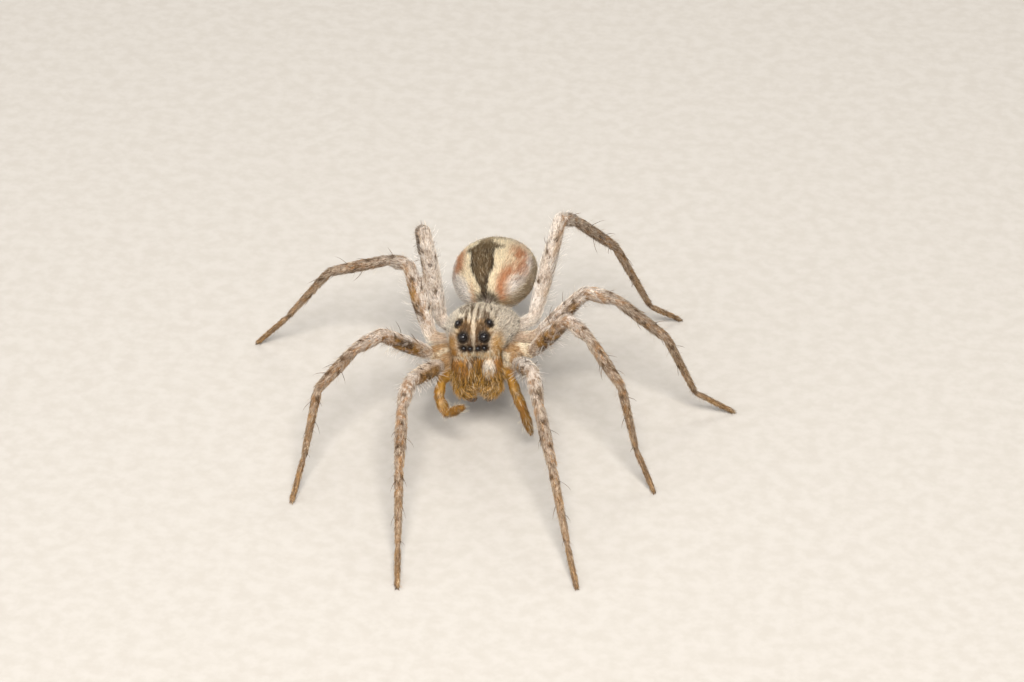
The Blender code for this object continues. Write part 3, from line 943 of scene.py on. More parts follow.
def strand_unwrap(mesh, roots, heights, around, faces):
    """Each needle's patch on the map OFBake, at its root's place on the skin's unwrap."""
    places = np.zeros((len(roots["point"]), 2))
    for part, rows in rows_by_part(roots["part"]):
        places[rows] = on_map(part, chart(part, roots["point"][rows]) % 1.0)
    low, high = places.min(0), places.max(0)
    places = TUFT_PATCH + (1 - 2 * TUFT_PATCH) * (places - low) / np.maximum(high - low, 1e-6)
    patch = np.stack((around[:, 0] * (1 - heights), heights * 2 - 1), 1) * TUFT_PATCH / 2
    corners = (places[:, None] + patch[None]).reshape(-1, 2)
    push(mesh.uv_layers.new(name="OFBake").data, "uv", corners[faces.ravel()])


def clear_of_eyes(roots, lengths):
    """Which roots neither lie on an eye nor send their tips over one."""
    clear = np.ones(len(lengths), bool)
    start = roots["point"]
    tips = start + roots["way"] * (lengths * MM)[:, None]
    for node in EYES:
        radius = radius_of(node) * LENS_SWELL[node[4:6]]
        for spots, margin in zip((start, (start + tips) / 2, tips), EYE_CLEARANCE):
            clear &= np.linalg.norm(spots - np.array(middle_of(node)), axis=1) > radius * margin
    return clear


# ---------------- markings, with painted shade at the waist

# Numbers below are places in body millimetres, scales of noise, sections of a limb (reach), cosines
# from a limb's back or front, and strengths from 0 to 1.


def abdomen_marks_and_painted_shade(graph, place):
    """The toothed heart mark between cream bands, rust patches, pale flanks and an olive belly, with painted
    shade at the front end by the waist.
    """
    x, y, z = place.split()
    z = z + 0.25
    cosine, sine = math.cos(ABDOMEN_TWIST), math.sin(ABDOMEN_TWIST)
    across = abs(x * cosine + z * sine)
    behind = y - 3.97
    angle = (across * 0.783).math("ARCTAN2", z * cosine - x * sine)
    frayed = across + ((place.noise(1.6) - 0.5) * 0.30 + (place.noise(7.0) - 0.5) * 0.30)

    front = behind.rise(-0.4, 2.2, 0.10, 0.92)
    teeth = behind.hill(4.05, 0.50) * 0.62
    neck = behind.rise(4.2, 4.6, 0.0, -0.34)
    wave = (behind * 7.4 + across * -3.4).math("SINE")
    chevrons = behind.rise(4.9, 5.6) * (wave * 0.42)
    inside = ((front + teeth) + (neck + chevrons)) - frayed

    right = x.fall(-1.5, -0.9)
    rust_line = behind.rise(0.0, 3.0, 1.05, 2.50) - right * 0.45
    rust = frayed.hill(rust_line, behind.rise(0.0, 3.0, 0.48, 0.95))
    rust = rust * place.noise(1.3, stretch=(1, 0.7, 1)).rise(0.31, 0.47) * behind.rise(4.2, 5.2, 1.0, 0.25)
    rust = rust * (1.0 - right * behind.rise(1.8, 2.6, 0.95, 0.0))
    streaks = place.noise(1.0, stretch=(2.6, 0.45, 2.6)).rise(0.50, 0.66)
    flank = angle.rise(1.22, 1.55) * x.rise(-0.8, 0.8, 0.15, 1.0)
    core = graph.mix(place.noise(3.4).rise(0.56, 0.68) * 0.38, "heart", "olive").under(
        (place.noise(2.1).rise(0.50, 0.62, 0.0, 0.5), "dark"),
        (inside.hill(0.05, 0.28) * place.noise(1.3).rise(0.28, 0.44) * 0.95, "dark"),
        (behind.rise(4.2, 5.2, 0.0, 0.6), "olive"))
    marked = inside.rise(-0.03, 0.05) * angle.fall(0.95, 1.2) * behind.rise(5.0, 6.0, 1.0, 0.60)
    return graph.mix((frayed - rust_line).rise(-0.1, 0.6), "cream", "white").under(
        (behind.rise(4.9, 5.9) * 0.75, graph.mix(place.noise(1.4).rise(0.40, 0.60), "grey", "olive")),
        (behind.hill(5.0, 0.55) * frayed.rise(0.4, 0.7), "cream"),
        (rust * 0.94, "rust"),
        (flank * (streaks * 0.3 + 0.70), "olive"),
        (streaks * angle.rise(0.85, 1.2, 0.0, 0.28), "brown"),
        (angle.rise(1.95, 2.45) * 0.7, "grey"),
        (marked, core),
        # Painted shade: the abdomen's front end darkens where it meets the gap at the waist.
        (behind.fall(0.10, 0.40) * across.fall(0.5, 1.1) * 0.9, "dark"))


def carapace_marks_and_painted_shade(graph, place):
    """The pale midline, dark streaks and fine arcs, ochre cheeks, and dark rims round the eyes, with painted
    shade at the rear where it drops to the waist.
    """
    pair = place.mirrored()
    x, y, z = place.split()
    across = pair.split()[0]
    frayed = across + (place.noise(5.0) - 0.5) * 0.24
    deep = graph.mix(0.35, "brown", "dark")

    soft = place.noise(1.5)
    streaks = place.noise(1.0, stretch=(6.5, 0.8, 4.0)).rise(0.48, 0.55)
    out = place.share_out(*CARAPACE_OVAL) + (place.noise(1.0) - 0.5) * 0.14
    arcs = (out * (TAU / ARC_SPACING)).math("SINE").rise(0.25, 0.85)
    head = y.fall(-2.4, -1.2)
    cheeks = across.rise(0.95, 1.5) * z.fall(1.5, 2.3) * y.fall(-2.9, -1.6)
    flecks = place.noise(3.4, stretch=(1.0, 1.0, 0.6)) + x.rise(-0.5, 0.5, -0.05, 0.06)
    tone = graph.mix(x.rise(-0.5, 0.5, 0.85, 0.15), "ochre", "amber")
    tone = tone.mix(flecks.rise(0.46, 0.66, 0.0, 0.65), "cream")
    brow = pair.share_out((1.10, -2.25, 2.62), (0.42, 0.56, 0.46)).hill(1.42, 0.30)
    patches = (pair.within((0.60, -2.84, 2.40), (0.40, 0.52, 0.46), 0.25)
               | pair.within((1.16, -2.30, 2.62), (0.40, 0.52, 0.42), 0.25)
               | pair.within((0.62, -1.60, 2.9), (0.15, 0.80, 0.5)) * 0.8)
    face = head * z.fall(1.95, 2.35) * z.rise(0.74, 0.92) * across.fall(0.98, 1.18)
    reaches = {node: radius_of(node) / MM + EYE_RIM[node[4:6]] for node in EYES if node.endswith("_L")}
    from_edge = frayed - z.rise(1.1, 1.9, 0.05, 0.12).math("MINIMUM", y.rise(-2.75, -1.9, 0.12, 0.05))
    stripe = from_edge.fall(-0.02, 0.05) * soft.rise(0.36, 0.52, 0.32, 0.62)
    lip = z.fall(0.62, 0.88) * (head * across.fall(0.9, 1.4))
    hairy = graph.mix(place.noise(3.5, stretch=(2.5, 1, 0.7)).rise(0.40, 0.60), "gold", "cream")
    rim = z.hill(0.42, 0.26) * across.rise(1.8, 2.3)
    return graph.mix(soft.rise(0.30, 0.50, 0.82, 1.0), "grey", "white").under(
        (across.rise(0.3, 2.4, 0.65, 0.40), "cream"),
        (streaks * (frayed.rise(0.12, 0.22) * across.rise(1.1, 2.0, 0.92, 0.15)), deep),
        (arcs * place.noise(1.5).rise(0.34, 0.50) * across.rise(1.0, 1.6, 0.0, 0.38), "brown"),
        (cheeks * 0.92, tone),
        (pair.within((0.70, -2.75, 2.30), (0.74, 0.80, 0.72)) * 0.85, graph.mix(0.55, "ochre", "brown")),
        (brow * across.rise(1.0, 1.3, 0.0, 0.85), "cream"),
        (patches * place.noise(4.5).rise(0.32, 0.48, 0.6, 1.0) * 0.95, deep),
        (face * 0.90, graph.mix(soft.rise(0.4, 0.6), deep, "brown")),
        *((pair.within(BODY.inverted() @ middle_of(node), (reach,) * 3, 0.10), "dark")
          for node, reach in reaches.items()),
        (from_edge.hill(0.12, 0.10) * y.rise(-2.2, 2.2, 0.80, 0.45), deep),
        (stripe, graph.mix(0.45, "cream", "grey")),
        (lip * 0.85, hairy),
        # Painted shade: the rear of the carapace darkens where it drops into the gap at the waist.
        (y.rise(3.05, 3.45, 0.0, 0.85) * across.fall(0.7, 1.3), "dark"),
        (rim * place.noise(2.1).rise(0.47, 0.54), "dark"))


def leg_marks(graph, place, limb, spot):
    """Grey and cream legs with brown blotches, dark thighs, bare knees, brown feet and spine spots."""
    reach, back, front = limb.split()
    lengthwise = place.noise(1.0, stretch=(3.4, 0.7, 3.4))
    blotch = place.noise(1.1)
    patchy = place.noise(1.7).rise(0.38, 0.56)
    warm = graph.mix(0.4, "ochre", "brown")
    index = (place.split()[0] * (1 / LIMB_STEP)).math("ROUND")
    number = index.math("MODULO", 4.0)
    golden = abs(index - LEGS.index("R1")).rise(0.3, 0.6, 0.90, 0.0)
    middle = abs(number - 1.5).fall(0.6, 0.9)

    hips = graph.mix(blotch.rise(0.50, 0.66), warm, "cream").under(
        (number.rise(1.2, 3.0, 0.0, 0.80), "white"), (golden, warm))
    shown = (reach.rise(1.9, 2.3) * reach.rise(4.2, 5.0, 0.68, 0.45)
             + middle * (reach.rise(1.0, 1.3) * reach.rise(1.9, 2.3, 0.55, 0.0)))
    ruddy = graph.mix(place.noise(0.8).rise(0.42, 0.58), graph.mix(0.25, warm, "rust"), "brown")
    thigh = reach.rise(1.08, 1.30) * reach.fall(1.72, 1.95)
    ahead = front.rise(-0.15, 0.35) * back.fall(0.30, 0.72)
    dark_face = thigh * (ahead | back.fall(-0.30, 0.30) * 0.85)
    dark_face = dark_face * (middle | number.rise(0.3, 0.7, 0.85, 0.40))
    second = abs(number - 1.0).rise(0.3, 0.6, 0.85, 0.0) | golden
    facing = front.rise(-0.55, 0.05) * back.fall(0.50, 0.88)
    dark_face = dark_face | thigh * (second * facing)
    wash = golden * thigh * back.rise(0.45, 0.95, 0.75, 0.25)
    shade = graph.mix(blotch.rise(0.42, 0.58), warm, graph.mix(0.5, "brown", "dark"))
    knee = reach.hill(2.02, 0.42) * back.rise(0.05, 0.75, 1.0, 0.10)
    tan = graph.mix(0.5, "gold", "ochre").mix(lengthwise.rise(0.40, 0.60, 0.15, 0.85), "brown")
    specks = place.noise(4.2).rise(0.62, 0.68, 0.0, 0.65)
    return graph.mix(blotch.rise(0.36, 0.64), "grey", "white").under(
        (reach.rise(1.8, 3.4, 0.10, 0.80), "tan"),
        (lengthwise.rise(0.50, 0.64, 0.0, 0.34), "brown"),
        (reach.rise(0.8, 1.25, 0.82, 0.0), hips),
        (middle * reach.rise(1.9, 2.6, 0.0, 0.06), "brown"),
        (place.noise(2.7).rise(0.50, 0.56) * shown, ruddy),
        (wash, graph.mix(blotch.rise(0.44, 0.56), warm, "gold")),
        (dark_face * patchy.rise(0.0, 1.0, 0.50, 0.97), shade),
        (knee * place.noise(2.0).rise(0.42, 0.56, 0.1, 0.85), graph.mix(0.35, "amber", "brown")),
        ((reach.hill(3.55, 0.22) | reach.hill(4.45, 0.25)) * (patchy * 0.30), "brown"),
        (reach.rise(3.4, 4.8, 0.0, 0.30) + reach.rise(4.9, 5.5, 0.0, 0.30), tan),
        (reach.rise(4.2, 5.2, 0.0, 0.22), "brown"),
        (specks * reach.rise(1.0, 1.3), graph.mix(0.5, "brown", "dark")),
        (spot * 0.90, graph.mix(0.3, "brown", "dark")))


def jaw_marks(graph, place):
    """The jaws: amber shell, dark between the bristles, with a pale patch on one of them."""
    pair = place.mirrored()
    z = place.split()[2]
    bare = (pair.within((1.62, -3.45, -0.20), (0.40, 0.6, 0.46))
            | pair.within((0.98, -3.75, -0.75), (0.45, 0.5, 0.50), 0.4))
    pale = (place.within((0.95, -3.80, -0.34), (0.50, 0.55, 0.64), 0.22)
            | place.within((-0.39, -3.61, -0.18), (0.15, 0.3, 0.20)) * 0.5)
    return graph.mix(place.noise(1.0, stretch=(5.0, 2.0, 1.1)).rise(0.36, 0.54), "amber", "brown").under(
        (place.noise(1.0, stretch=(6.5, 2, 1.3)).rise(0.58, 0.68, 0.0, 0.6), "gold"),
        (z.rise(-2.7, -1.5, 0.60, 0.0) + z.hill(-1.25, 0.60) * 0.55, graph.mix(0.5, "brown", "dark")),
        (bare * 0.75, graph.mix(0.5, "amber", graph.mix(0.5, "rust", "brown"))),
        (pale * place.noise(3.6).rise(0.36, 0.52, 0.55, 0.88), graph.mix(0.35, "white", "cream")))


def palp_marks(graph, place, limb):
    """Yellow brown palps with dark joints and tips, ochre roots and a little frost."""
    reach, back = limb.split()[:2]
    tone = place.noise(1.8)
    joints = reach.hill(1.2, 0.22) | (reach.hill(2.4, 0.22) | (reach.hill(3.6, 0.22) | reach.hill(4.8, 0.22)))
    frost = reach.hill(3.7, 0.8) * back.rise(-0.4, 0.5)
    return graph.mix(tone.rise(0.42, 0.62), "honey", "amber").under(
        (reach.rise(4.3, 5.6, 0.0, 0.80), graph.mix(0.5, "brown", "amber")),
        (0.16, "brown"),
        (joints * 0.5, "brown"),
        (reach.rise(0.6, 2.0, 0.7, 0.0), graph.mix(tone.rise(0.42, 0.56), "ochre", "cream")),
        (back.hill(1.0, 0.9) * 0.14, "gold"),
        (reach.hill(4.6, 0.7) * tone.rise(0.45, 0.60, 0.15, 0.5), graph.mix(0.5, "amber", "rust")),
        (frost * place.noise(3.0).rise(0.46, 0.58, 0.0, 0.28), "cream"),
        (place.noise(4.5).rise(0.63, 0.70, 0.0, 0.6), "brown"))


def spider_marks_and_painted_shade(graph, place, limb, kind, palp, spot):
    """All the markings, chosen by the part that a place belongs to, with painted shade darkening the waist.
    """
    y, z = place.split()[1:]
    # Painted shade: the waist is darkened where it shows in the gap between carapace and abdomen.
    painted_waist_shade = (y.hill(3.45, 0.95) * z.rise(-1.2, -0.6)).math("MULTIPLY", 1.4, clamp=True)
    carapace, abdomen, jaw = kind.split("Color")
    legs = graph.group("Leg marks", leg_marks, Place=place, Limb=limb, Spot=spot)
    return graph.mix(place.noise(1.6).rise(0.38, 0.62), "brown", "grey").under(
        (painted_waist_shade, "dark"),
        (limb.split()[0].rise(-0.6, -0.2), legs),
        (carapace, graph.group("Carapace marks", carapace_marks_and_painted_shade, Place=place)),
        (abdomen, graph.group("Abdomen marks", abdomen_marks_and_painted_shade, Place=place)),
        (jaw, graph.group("Jaw marks", jaw_marks, Place=place)),
        (palp, graph.group("Palp marks", palp_marks, Place=place, Limb=limb)))


# ---------------- materials


def shaded(name, look, *details, **choices):
    """A material whose Principled shader takes the inputs that look makes in its graph."""
    material = bpy.data.materials.new(name)
    material.use_nodes = True
    graph = Graph(material.node_tree)
    for key, value in look(graph, *details, **choices).items():
        graph.put(material.node_tree.nodes["Principled BSDF"].inputs[key], value)
    return material


def marks_and_painted_shade_of(graph):
    return graph.group("Spider marks", spider_marks_and_painted_shade, Place=graph.read("place"), Limb=graph.read("limb"),
                       Kind=graph.read("kind", "Color"), Palp=graph.read("kind", "Alpha"),
                       Spot=graph.read("spot", "Fac"))


def hide_look(graph):
    """The shell and its shortest fur, in the colours of the coat but darker."""
    place = graph.read("place")
    pits = place.noise(6.0, 4.0).rise(0.40, 0.60)
    bare = graph.read("kind", "Alpha") | graph.read("kind", "Color").split("Color")[2] * 0.6
    depth = (0.55 - pits * 0.30) * bare.rise(0.0, 1.0, 1.0, 0.25)
    depth = depth.math("MULTIPLY", 1.5, clamp=True)
    fur = place.noise(1.0, 3.0, (16.0, 5.0, 16.0))
    return {"Base Color": graph.mix(depth, marks_and_painted_shade_of(graph), SHELL_SHADE, "MULTIPLY"),
            "Roughness": pits.rise(0.0, 1.0, 0.72, 0.50) - bare * 0.25, "Specular IOR Level": SHELL_SHINE,
            "Normal": graph.add("ShaderNodeBump", {"Strength": 0.7, "Distance": 0.04 * MM, "Height": fur})}


def hair_look(graph, pale=0.10, dark=0.12, tint=None, gleam="cream", shade="brown", tones=(0.72, 1.22)):
    """Hair in a tint or the coat's markings and painted shade: each has its tone, and a few are far paler or
    darker.
    """
    along, one, two = graph.read("strand").split()
    base = graph.mix(one.rise(1 - pale, 1.0) * 0.60, tint or marks_and_painted_shade_of(graph), gleam)
    base = base.mix(two.rise(1 - dark, 1.0) * 0.75, shade)
    tone = (one * 7.0).math("FRACT").rise(0.0, 1.0, *tones) * along.rise(0.0, 0.9, 0.62, 1.12)
    return {"Base Color": graph.add("ShaderNodeHueSaturation", {"Color": base, "Value": tone}),
            "Roughness": one.rise(0.0, 1.0, 0.48, 0.68), "Specular IOR Level": HAIR_SHINE}


def grain_of(graph, scale, detail=3.0):
    return graph.add("ShaderNodeTexCoord", None, "Object").noise(scale, detail)


def horn_look(graph, deep, roughness):
    """Dark horn with paler grain."""
    grain = grain_of(graph, 6000.0)
    return {"Base Color": graph.mix(grain.rise(0.35, 0.65), deep, "brown"),
            "Roughness": grain.rise(0.3, 0.7, roughness, roughness + 0.12)}


def eye_look(graph):
    """A clear lens over black, brown where it is thickest at the rim."""
    haze = grain_of(graph, 3000.0, 2.0)
    rim = graph.add("ShaderNodeLayerWeight", {"Blend": 0.25}, "Facing")
    brown = graph.mix(haze.rise(0.35, 0.65, 0.4, 0.8), "lens", "brown")
    return {"Base Color": graph.mix(rim.rise(0.80, 1.0, 0.0, 0.30), "lens", brown),
            "Roughness": haze.rise(0.3, 0.7, 0.05, 0.11), "Specular IOR Level": LENS_SHINE}


def floor_look(graph):
    tone = (*bpy.context.scene.spider_stage.floor, 1)
    grain = grain_of(graph, 900.0).rise(0.3, 0.7, 0.0, 0.06)
    return {"Base Color": graph.mix(grain, tone, (1, 1, 1, 1)), "Roughness": 0.85}


# ---------------- pieces


def surface():
    return Surface(bpy.data.objects["spider_skin"].data)


def rng_for(number):
    return np.random.default_rng([bpy.context.scene.spider_coat.seed, number])


def spine_roots(skin):
    """Roots of every leg's spines and their lengths."""
    roots, lengths = [], []
    for leg in LEGS:
        limb = LIMBS[leg]
        for section, share, turn, length in SPINES:
            number = SECTIONS.index(section) + 1
            angle = math.radians(turn)
            outward = limb.backs[number] * math.cos(angle) + limb.fronts[number] * math.sin(angle)
            start = limb.joints[number] + limb.runs[number] * share
            found = skin.root_at(start, outward, limb.ways[number], outward)
            roots += found
            lengths += [length] * len(found)
    return joined_roots(roots), np.array(lengths)


def mark_spots(skin, mesh, points):
    """Stores how near each point lies to the root of a spine, as the attribute spot."""
    nearest = np.full(len(points), 1.0)
    for base in spine_roots(skin)[0]["point"]:
        nearest = np.minimum(nearest, np.linalg.norm(points - base, axis=1) / MM)
    store(mesh, "spot", 1 - step_up(nearest, SPOT_REACH * 0.45, SPOT_REACH))


def add_coat(skin, name, slot, material, number, weights, length, width, depth=0.11, tilt=None,
             density=100.0, spots=False, lean=0.0, **look):
    """One coat piece: hairs of about one length rooted where weights are above 0.

    They lean to the middle. Without a tilt, their tips come to about the coat's depth."""
    rng = rng_for(number)
    roots = skin.roots(density * weights, rng)
    if lean:
        inward = -np.clip(roots["body"][:, :1] * 2, -1, 1) * (np.array(BODY.to_3x3().col[0]) / MM)
        roots["way"] = project(roots["way"] + lean * inward, roots["normal"])
    lengths = length * rng.uniform(*LENGTH_SPREAD, len(roots["point"]))
    chosen = clear_of_eyes(roots, lengths)
    roots, lengths = {label: values[chosen] for label, values in roots.items()}, lengths[chosen]
    count = len(lengths)
    if tilt is None:
        tilts = np.degrees(np.arcsin(np.clip(depth / lengths * rng.uniform(*LYING_SPREAD, count), 0, 0.9)))
    else:
        tilts = np.clip(rng.normal(tilt, tilt * TILT_SPREAD, count), 2, 88)
    mesh = strand_mesh(name, roots, rng, lengths, width * rng.uniform(*WIDTH_SPREAD, count), tilts, **look)
    if spots:
        mark_spots(skin, mesh, np.repeat(roots["point"], len(mesh.vertices) // count, 0))
    add_piece(name, mesh, material, slot)


class SPIDER_OT_skin(bpy.types.Operator):
    """Build one skin over the body, the jaws, the palps and the legs"""

    bl_idname = "spider.skin"
    bl_label = "Skin"

    def execute(self, context):
        add_piece("spider_skin", make_skin(), shaded("spider hide", hide_look), "carapace_coat", FLESH)
        return {"FINISHED"}


class SPIDER_OT_eyes(bpy.types.Operator):
    """Set the eight glossy eyes"""

    bl_idname = "spider.eyes"
    bl_label = "Eyes"

    def execute(self, context):
        material = shaded("eye lens", eye_look)
        for node in sorted(EYES):
            shape = bmesh.new()
            eye_ball(shape, node, LENS_SWELL[node[4:6]], LENS_BALL)
            add_piece(f"{node}_lens", as_mesh(shape, f"{node}_lens"), material, "eye_lens", (node,))
        return {"FINISHED"}


class SPIDER_OT_claws(bpy.types.Operator):
    """Finish the fangs and set the claws at the tips of the legs and palps"""

    bl_idname = "spider.claws"
    bl_label = "Fangs and claws"

    def execute(self, context):
        material = shaded("fang horn", horn_look, "horn", 0.22)
        for side in SIDES:
            shape = merged(f"fang_{side}")
            bmesh.ops.subdivide_edges(shape, edges=shape.edges, cuts=2, use_grid_fill=True, smooth=0.6)
            mesh = as_mesh(shape, f"fang_horn_{side}")
            add_piece(f"fang_horn_{side}", mesh, material, "fang_horn", (f"fang_{side}",))
        skin = surface()
        roots = []
        for name, limb in LIMBS.items():
            if not name.startswith("chelicera"):
                start, way, back = limb.joints[-1] - limb.runs[-1] * 0.1, limb.ways[-1], limb.backs[-1]
                for turn in CLAW_TURNS:
                    side = limb.fronts[-1] * math.sin(math.radians(turn))
                    roots += skin.root_at(start, way + side + back * 0.35, unit(way + side * 2), back)
        mesh = strand_mesh("claws", joined_roots(roots), rng_for(41), 0.26, 0.07, 12.0, rings=5, bow=0.9,
                           jitter=2, curl=0.55, taper=2.5)
        add_piece("claws", mesh, material, "fang_horn")
        return {"FINISHED"}


# The coats of the legs: name, slot, first section, last section, length in mm and density.
LEG_COATS = (
    ("femora", "leg_coat", 1, 2, 0.40, 112), ("patellae", "leg_coat", 2, 3, 0.40, 112),
    ("tibiae", "leg_coat", 3, 4, 0.40, 112), ("metatarsi", "foot_coat", 4, 5, 0.30, 150),
    ("tarsi", "foot_coat", 5, 7, 0.30, 150),
)


class SPIDER_OT_coat(bpy.types.Operator):
    """Lay the short coat over the carapace, the abdomen, the legs, the palps and the underside"""

    bl_idname = "spider.coat"
    bl_label = "Coat"

    def execute(self, context):
        skin = surface()
        mark_spots(skin, bpy.data.objects["spider_skin"].data, skin.points)
        hair = shaded("coat hair", hair_look)
        honey = shaded("palp hairs", hair_look, 0.12, 0.25, gleam="gold", shade="dark")
        y = skin.body[skin.first, 1]
        seen = 1 - UNDER_THINNING * step_up(-skin.normals[skin.first, 2], 0.2, 0.7)
        width = context.scene.spider_coat.thickness / MM

        carapace, face = skin.in_parts("carapace"), step_up(-y, 2.2, 2.8)
        add_coat(skin, "coat_carapace", "carapace_coat", hair, 1, carapace * (1 - face) * seen, 0.36, width,
                 density=150)
        add_coat(skin, "coat_face", "face_coat", hair, 2, carapace * face, 0.22, width * 0.85,
                 depth=0.08, density=330)
        abdomen = skin.in_parts("abdomen") * seen
        for name, number, chosen, length in (("front", 3, y < 8.0, 0.42), ("rear", 4, y >= 8.0, 0.44)):
            add_coat(skin, f"coat_abdomen_{name}", "abdomen_coat", hair, number, abdomen * chosen, length,
                     width * 1.05, depth=0.13, density=155, jitter=18)
        legs = skin.in_parts("L", "R") * seen
        for number, (name, slot, start, stop, length, density) in enumerate(LEG_COATS, 10):
            chosen = legs * (skin.reach >= start) * (skin.reach < stop)
            add_coat(skin, f"coat_{name}", slot, hair, number, chosen, length, width, depth=0.095,
                     density=density, spots=True)
        under = skin.in_parts("sternum", "pedicel", "spinnerets") * (0.4 + 0.6 * (skin.reach > 0))
        add_coat(skin, "coat_underside", "underside_coat", hair, 20, under, 0.34, width,
                 depth=0.10, density=110)
        add_coat(skin, "coat_palps", "palp_coat", honey, 21, skin.in_parts("palp"), 0.32, width * 0.9,
                 depth=0.10, density=150, jitter=22)
        return {"FINISHED"}


class SPIDER_OT_bristles(bpy.types.Operator):
    """Add the jaws' bristles, the fringes, the fine standing hairs and the spines"""

    bl_idname = "spider.bristles"
    bl_label = "Bristles"

    def execute(self, context):
        skin = surface()
        gold = shaded("jaw bristles", hair_look, 0.55, 0.60, "ochre", shade="dark", tones=(0.50, 1.30))
        fine = shaded("fine hairs", hair_look, 0.35, 0.20)
        pale = shaded("pale hairs", hair_look, 0.2, 0.2, "white", shade="grey")
        hair = shaded("jaw hairs", hair_look, 0.12, 0.55, gleam="gold", shade="dark")
        cream = shaded("lip bristles", hair_look, 0.3, 0.3, "cream", gleam="white")
        x, y, z = skin.body[skin.first].T
        reach = skin.reach
        jaws, legs, palps = skin.in_parts("chelicera"), skin.in_parts("L", "R"), skin.in_parts("palp")
        body = skin.in_parts("abdomen", "carapace", "sternum")
        front = jaws * step_up(-y, 2.8, 3.3) * step_up(-reach, -0.95, -0.72) * step_up(reach, 0.12, 0.5)
        sides = jaws * step_up(np.abs(x), 0.8, 1.3) * step_up(reach, 0.25, 0.5) * step_up(-y, 2.2, 2.8)
        lip = skin.in_parts("carapace") * step_up(-y, 2.8, 3.2) * step_up(-z, -0.75, -0.45)
        below = legs * step_up(-skin.limb[skin.first, 1], 0.1, 0.6) * (reach > 1.05) * (reach < 2.0)
        # Each coat: name, slot, material, number of its scatter, weights, length, width and look.
        for name, slot, material, number, weights, length, width, look in (
            ("coat_jaws", "face", hair, 30, jaws, 0.45, 0.030, {"depth": 0.09, "density": 190}),
            ("jaw_bristles", "face", gold, 31, front, 0.66, 0.036,
             {"tilt": 20, "density": 62, "rings": 4, "jitter": 20, "bow": 0.6, "curl": 0.12}),
            ("jaw_fringe", "face", gold, 38, jaws * step_up(reach, 0.60, 0.78), 0.85, 0.034,
             {"tilt": 10, "density": 80, "rings": 4, "jitter": 22, "bow": 0.5, "curl": 0.10, "lean": 1.1}),
            ("jaw_sides", "face", gold, 39, sides, 0.75, 0.034,
             {"tilt": 26, "density": 55, "rings": 4, "jitter": 18, "bow": 0.4, "curl": 0.1, "lean": -0.45}),
            ("lip_bristles", "face", cream, 37, lip, 0.62, 0.026,
             {"tilt": 12, "density": 60, "rings": 3, "jitter": 18, "bow": 0.4, "lean": 0.35}),
            ("leg_fine_hairs", "leg", fine, 32, legs * (reach > 1) * (reach < 4.2), 0.62, 0.018,
             {"tilt": 42, "density": 7.5, "rings": 3}),
            ("foot_fine_hairs", "foot", fine, 33, legs * (reach >= 4.2), 0.42, 0.018,
             {"tilt": 48, "density": 16, "rings": 3}),
            ("femur_fringes", "leg", pale, 34, below, 0.90, 0.030, {"tilt": 60, "density": 14, "rings": 3}),
            ("body_fine_hairs", "abdomen", fine, 35, body * (y > -1.5), 0.5, 0.018,
             {"tilt": 30, "density": 14, "rings": 3}),
            ("palp_bristles", "palp", cream, 36, palps * step_up(reach, 2.8, 6.0), 0.50, 0.020,
             {"tilt": 44, "density": 34, "rings": 3}),
        ):
            add_coat(skin, name, f"{slot}_coat", material, number, weights, length, width, **look)

        rng = rng_for(40)
        roots, lengths = spine_roots(skin)
        lengths = lengths * rng.uniform(0.75, 1.25, len(lengths))
        mesh = strand_mesh("leg_spines", roots, rng, lengths, SPINE_WIDTH,
                           rng.uniform(*SPINE_TILTS, len(lengths)), rings=5, bow=0.35, taper=2.0)
        add_piece("leg_spines", mesh, shaded("spines", horn_look, "dark", 0.35), "leg_coat")
        return {"FINISHED"}


# ---------------- stage


def place_on_stage(name, data, aim, azimuth, elevation, distance, roll=0.0):
    """Sets a lamp or camera at a distance from aim, azimuth round from straight ahead, looking at it."""
    level = math.cos(elevation)
    way = Vector((math.sin(azimuth) * level, -math.cos(azimuth) * level, math.sin(elevation)))
    turn = way.to_track_quat("Z", "Y").to_matrix() @ Matrix.Rotation(roll, 3, "Z")
    item = bpy.data.objects.new(name, data)
    item.matrix_world = Matrix.Translation(aim + way * distance) @ turn.to_4x4()
    bpy.context.scene.collection.objects.link(item)
    return item


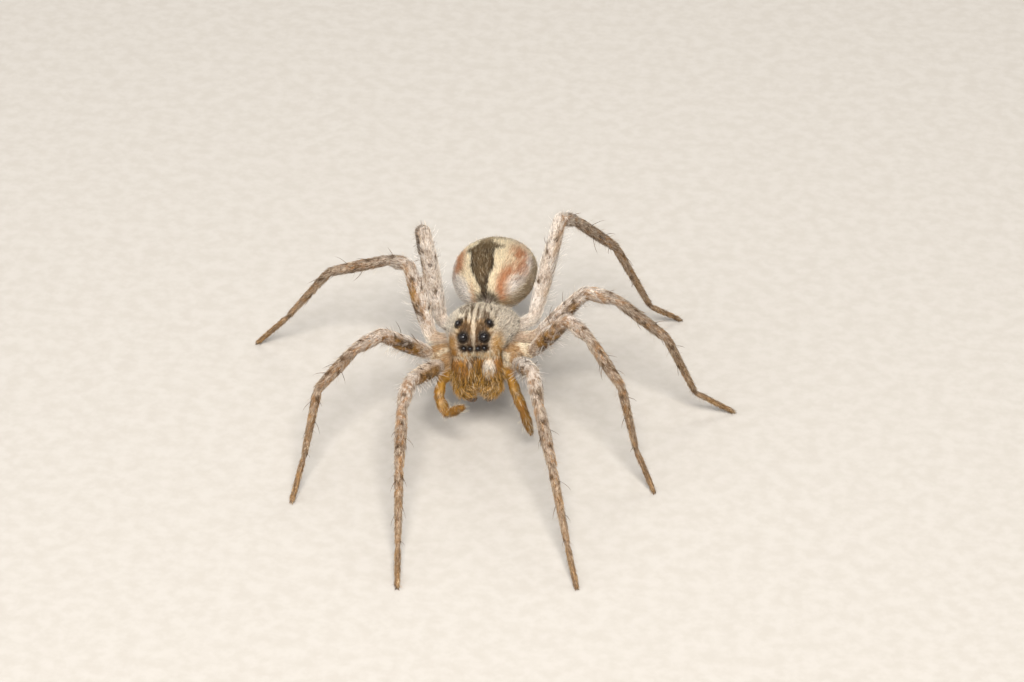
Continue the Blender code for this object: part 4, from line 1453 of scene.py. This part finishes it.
class SPIDER_OT_stage(bpy.types.Operator):
    """Lay the floor and place the lamps and the camera"""

    bl_idname = "spider.stage"
    bl_label = "Stage"

    def execute(self, context):
        scene = context.scene
        stage = scene.spider_stage
        middle = sum((Vector(corner) for corner in CAD_BOX), Vector()) / 2

        shape = bmesh.new()
        bmesh.ops.create_grid(shape, x_segments=2, y_segments=2, size=FLOOR_SIZE / 2)
        floor = bpy.data.objects.new("floor", as_mesh(shape, "floor", False))
        floor.data.materials.append(shaded("floor", floor_look))
        scene.collection.objects.link(floor)

        for name, angles, distance, size, power, tint in LIGHTS:
            data = bpy.data.lights.new(name, "AREA")
            data.shape = "DISK"
            data.size, data.energy, data.color = size, power, tint
            place_on_stage(name, data, middle, *(math.radians(angle) for angle in angles), distance)

        scene.world = bpy.data.worlds.new("studio")
        scene.world.use_nodes = True
        backdrop = scene.world.node_tree.nodes["Background"].inputs
        backdrop["Color"].default_value = BACKDROP
        backdrop["Strength"].default_value = BACKDROP_STRENGTH

        data = bpy.data.cameras.new("camera")
        data.sensor_width, data.lens = SENSOR, stage.lens
        data.clip_start, data.clip_end = CLIP
        scene.camera = place_on_stage("camera", data, middle + Vector(AIM) * MM, stage.azimuth,
                                      stage.elevation, stage.distance, stage.roll)
        scene.view_settings.view_transform = "Standard"
        return {"FINISHED"}


class SPIDER_PT_looks(bpy.types.Panel):
    """Settings and steps of the spider's looks"""

    bl_label = "Wolf Spider"
    bl_idname = "SPIDER_PT_looks"
    bl_space_type = "VIEW_3D"
    bl_region_type = "UI"
    bl_category = "Spider"

    def draw(self, context):
        for title in SETTINGS:
            settings = getattr(context.scene, title)
            self.layout.label(text=title.removeprefix("spider_").capitalize())
            for name in settings.__annotations__:
                self.layout.prop(settings, name)
        for step in STEPS:
            self.layout.operator(step.bl_idname)


SETTINGS = {"spider_coat": SpiderCoat, "spider_colours": SpiderColours, "spider_stage": SpiderStage}
STEPS = (SPIDER_OT_skin, SPIDER_OT_eyes, SPIDER_OT_claws, SPIDER_OT_coat, SPIDER_OT_bristles,
         SPIDER_OT_stage)
CLASSES = (*SETTINGS.values(), *STEPS, SPIDER_PT_looks)


def register():
    for kind in CLASSES:
        bpy.utils.register_class(kind)
    for name, kind in SETTINGS.items():
        setattr(bpy.types.Scene, name, PointerProperty(type=kind))


def unregister():
    for name in SETTINGS:
        delattr(bpy.types.Scene, name)
    for kind in reversed(CLASSES):
        bpy.utils.unregister_class(kind)


def main():
    register()
    bpy.ops.spider.skin()
    bpy.ops.spider.eyes()
    bpy.ops.spider.claws()
    bpy.ops.spider.coat()
    bpy.ops.spider.bristles()
    bpy.ops.spider.stage()


if __name__ == "__main__":
    main()
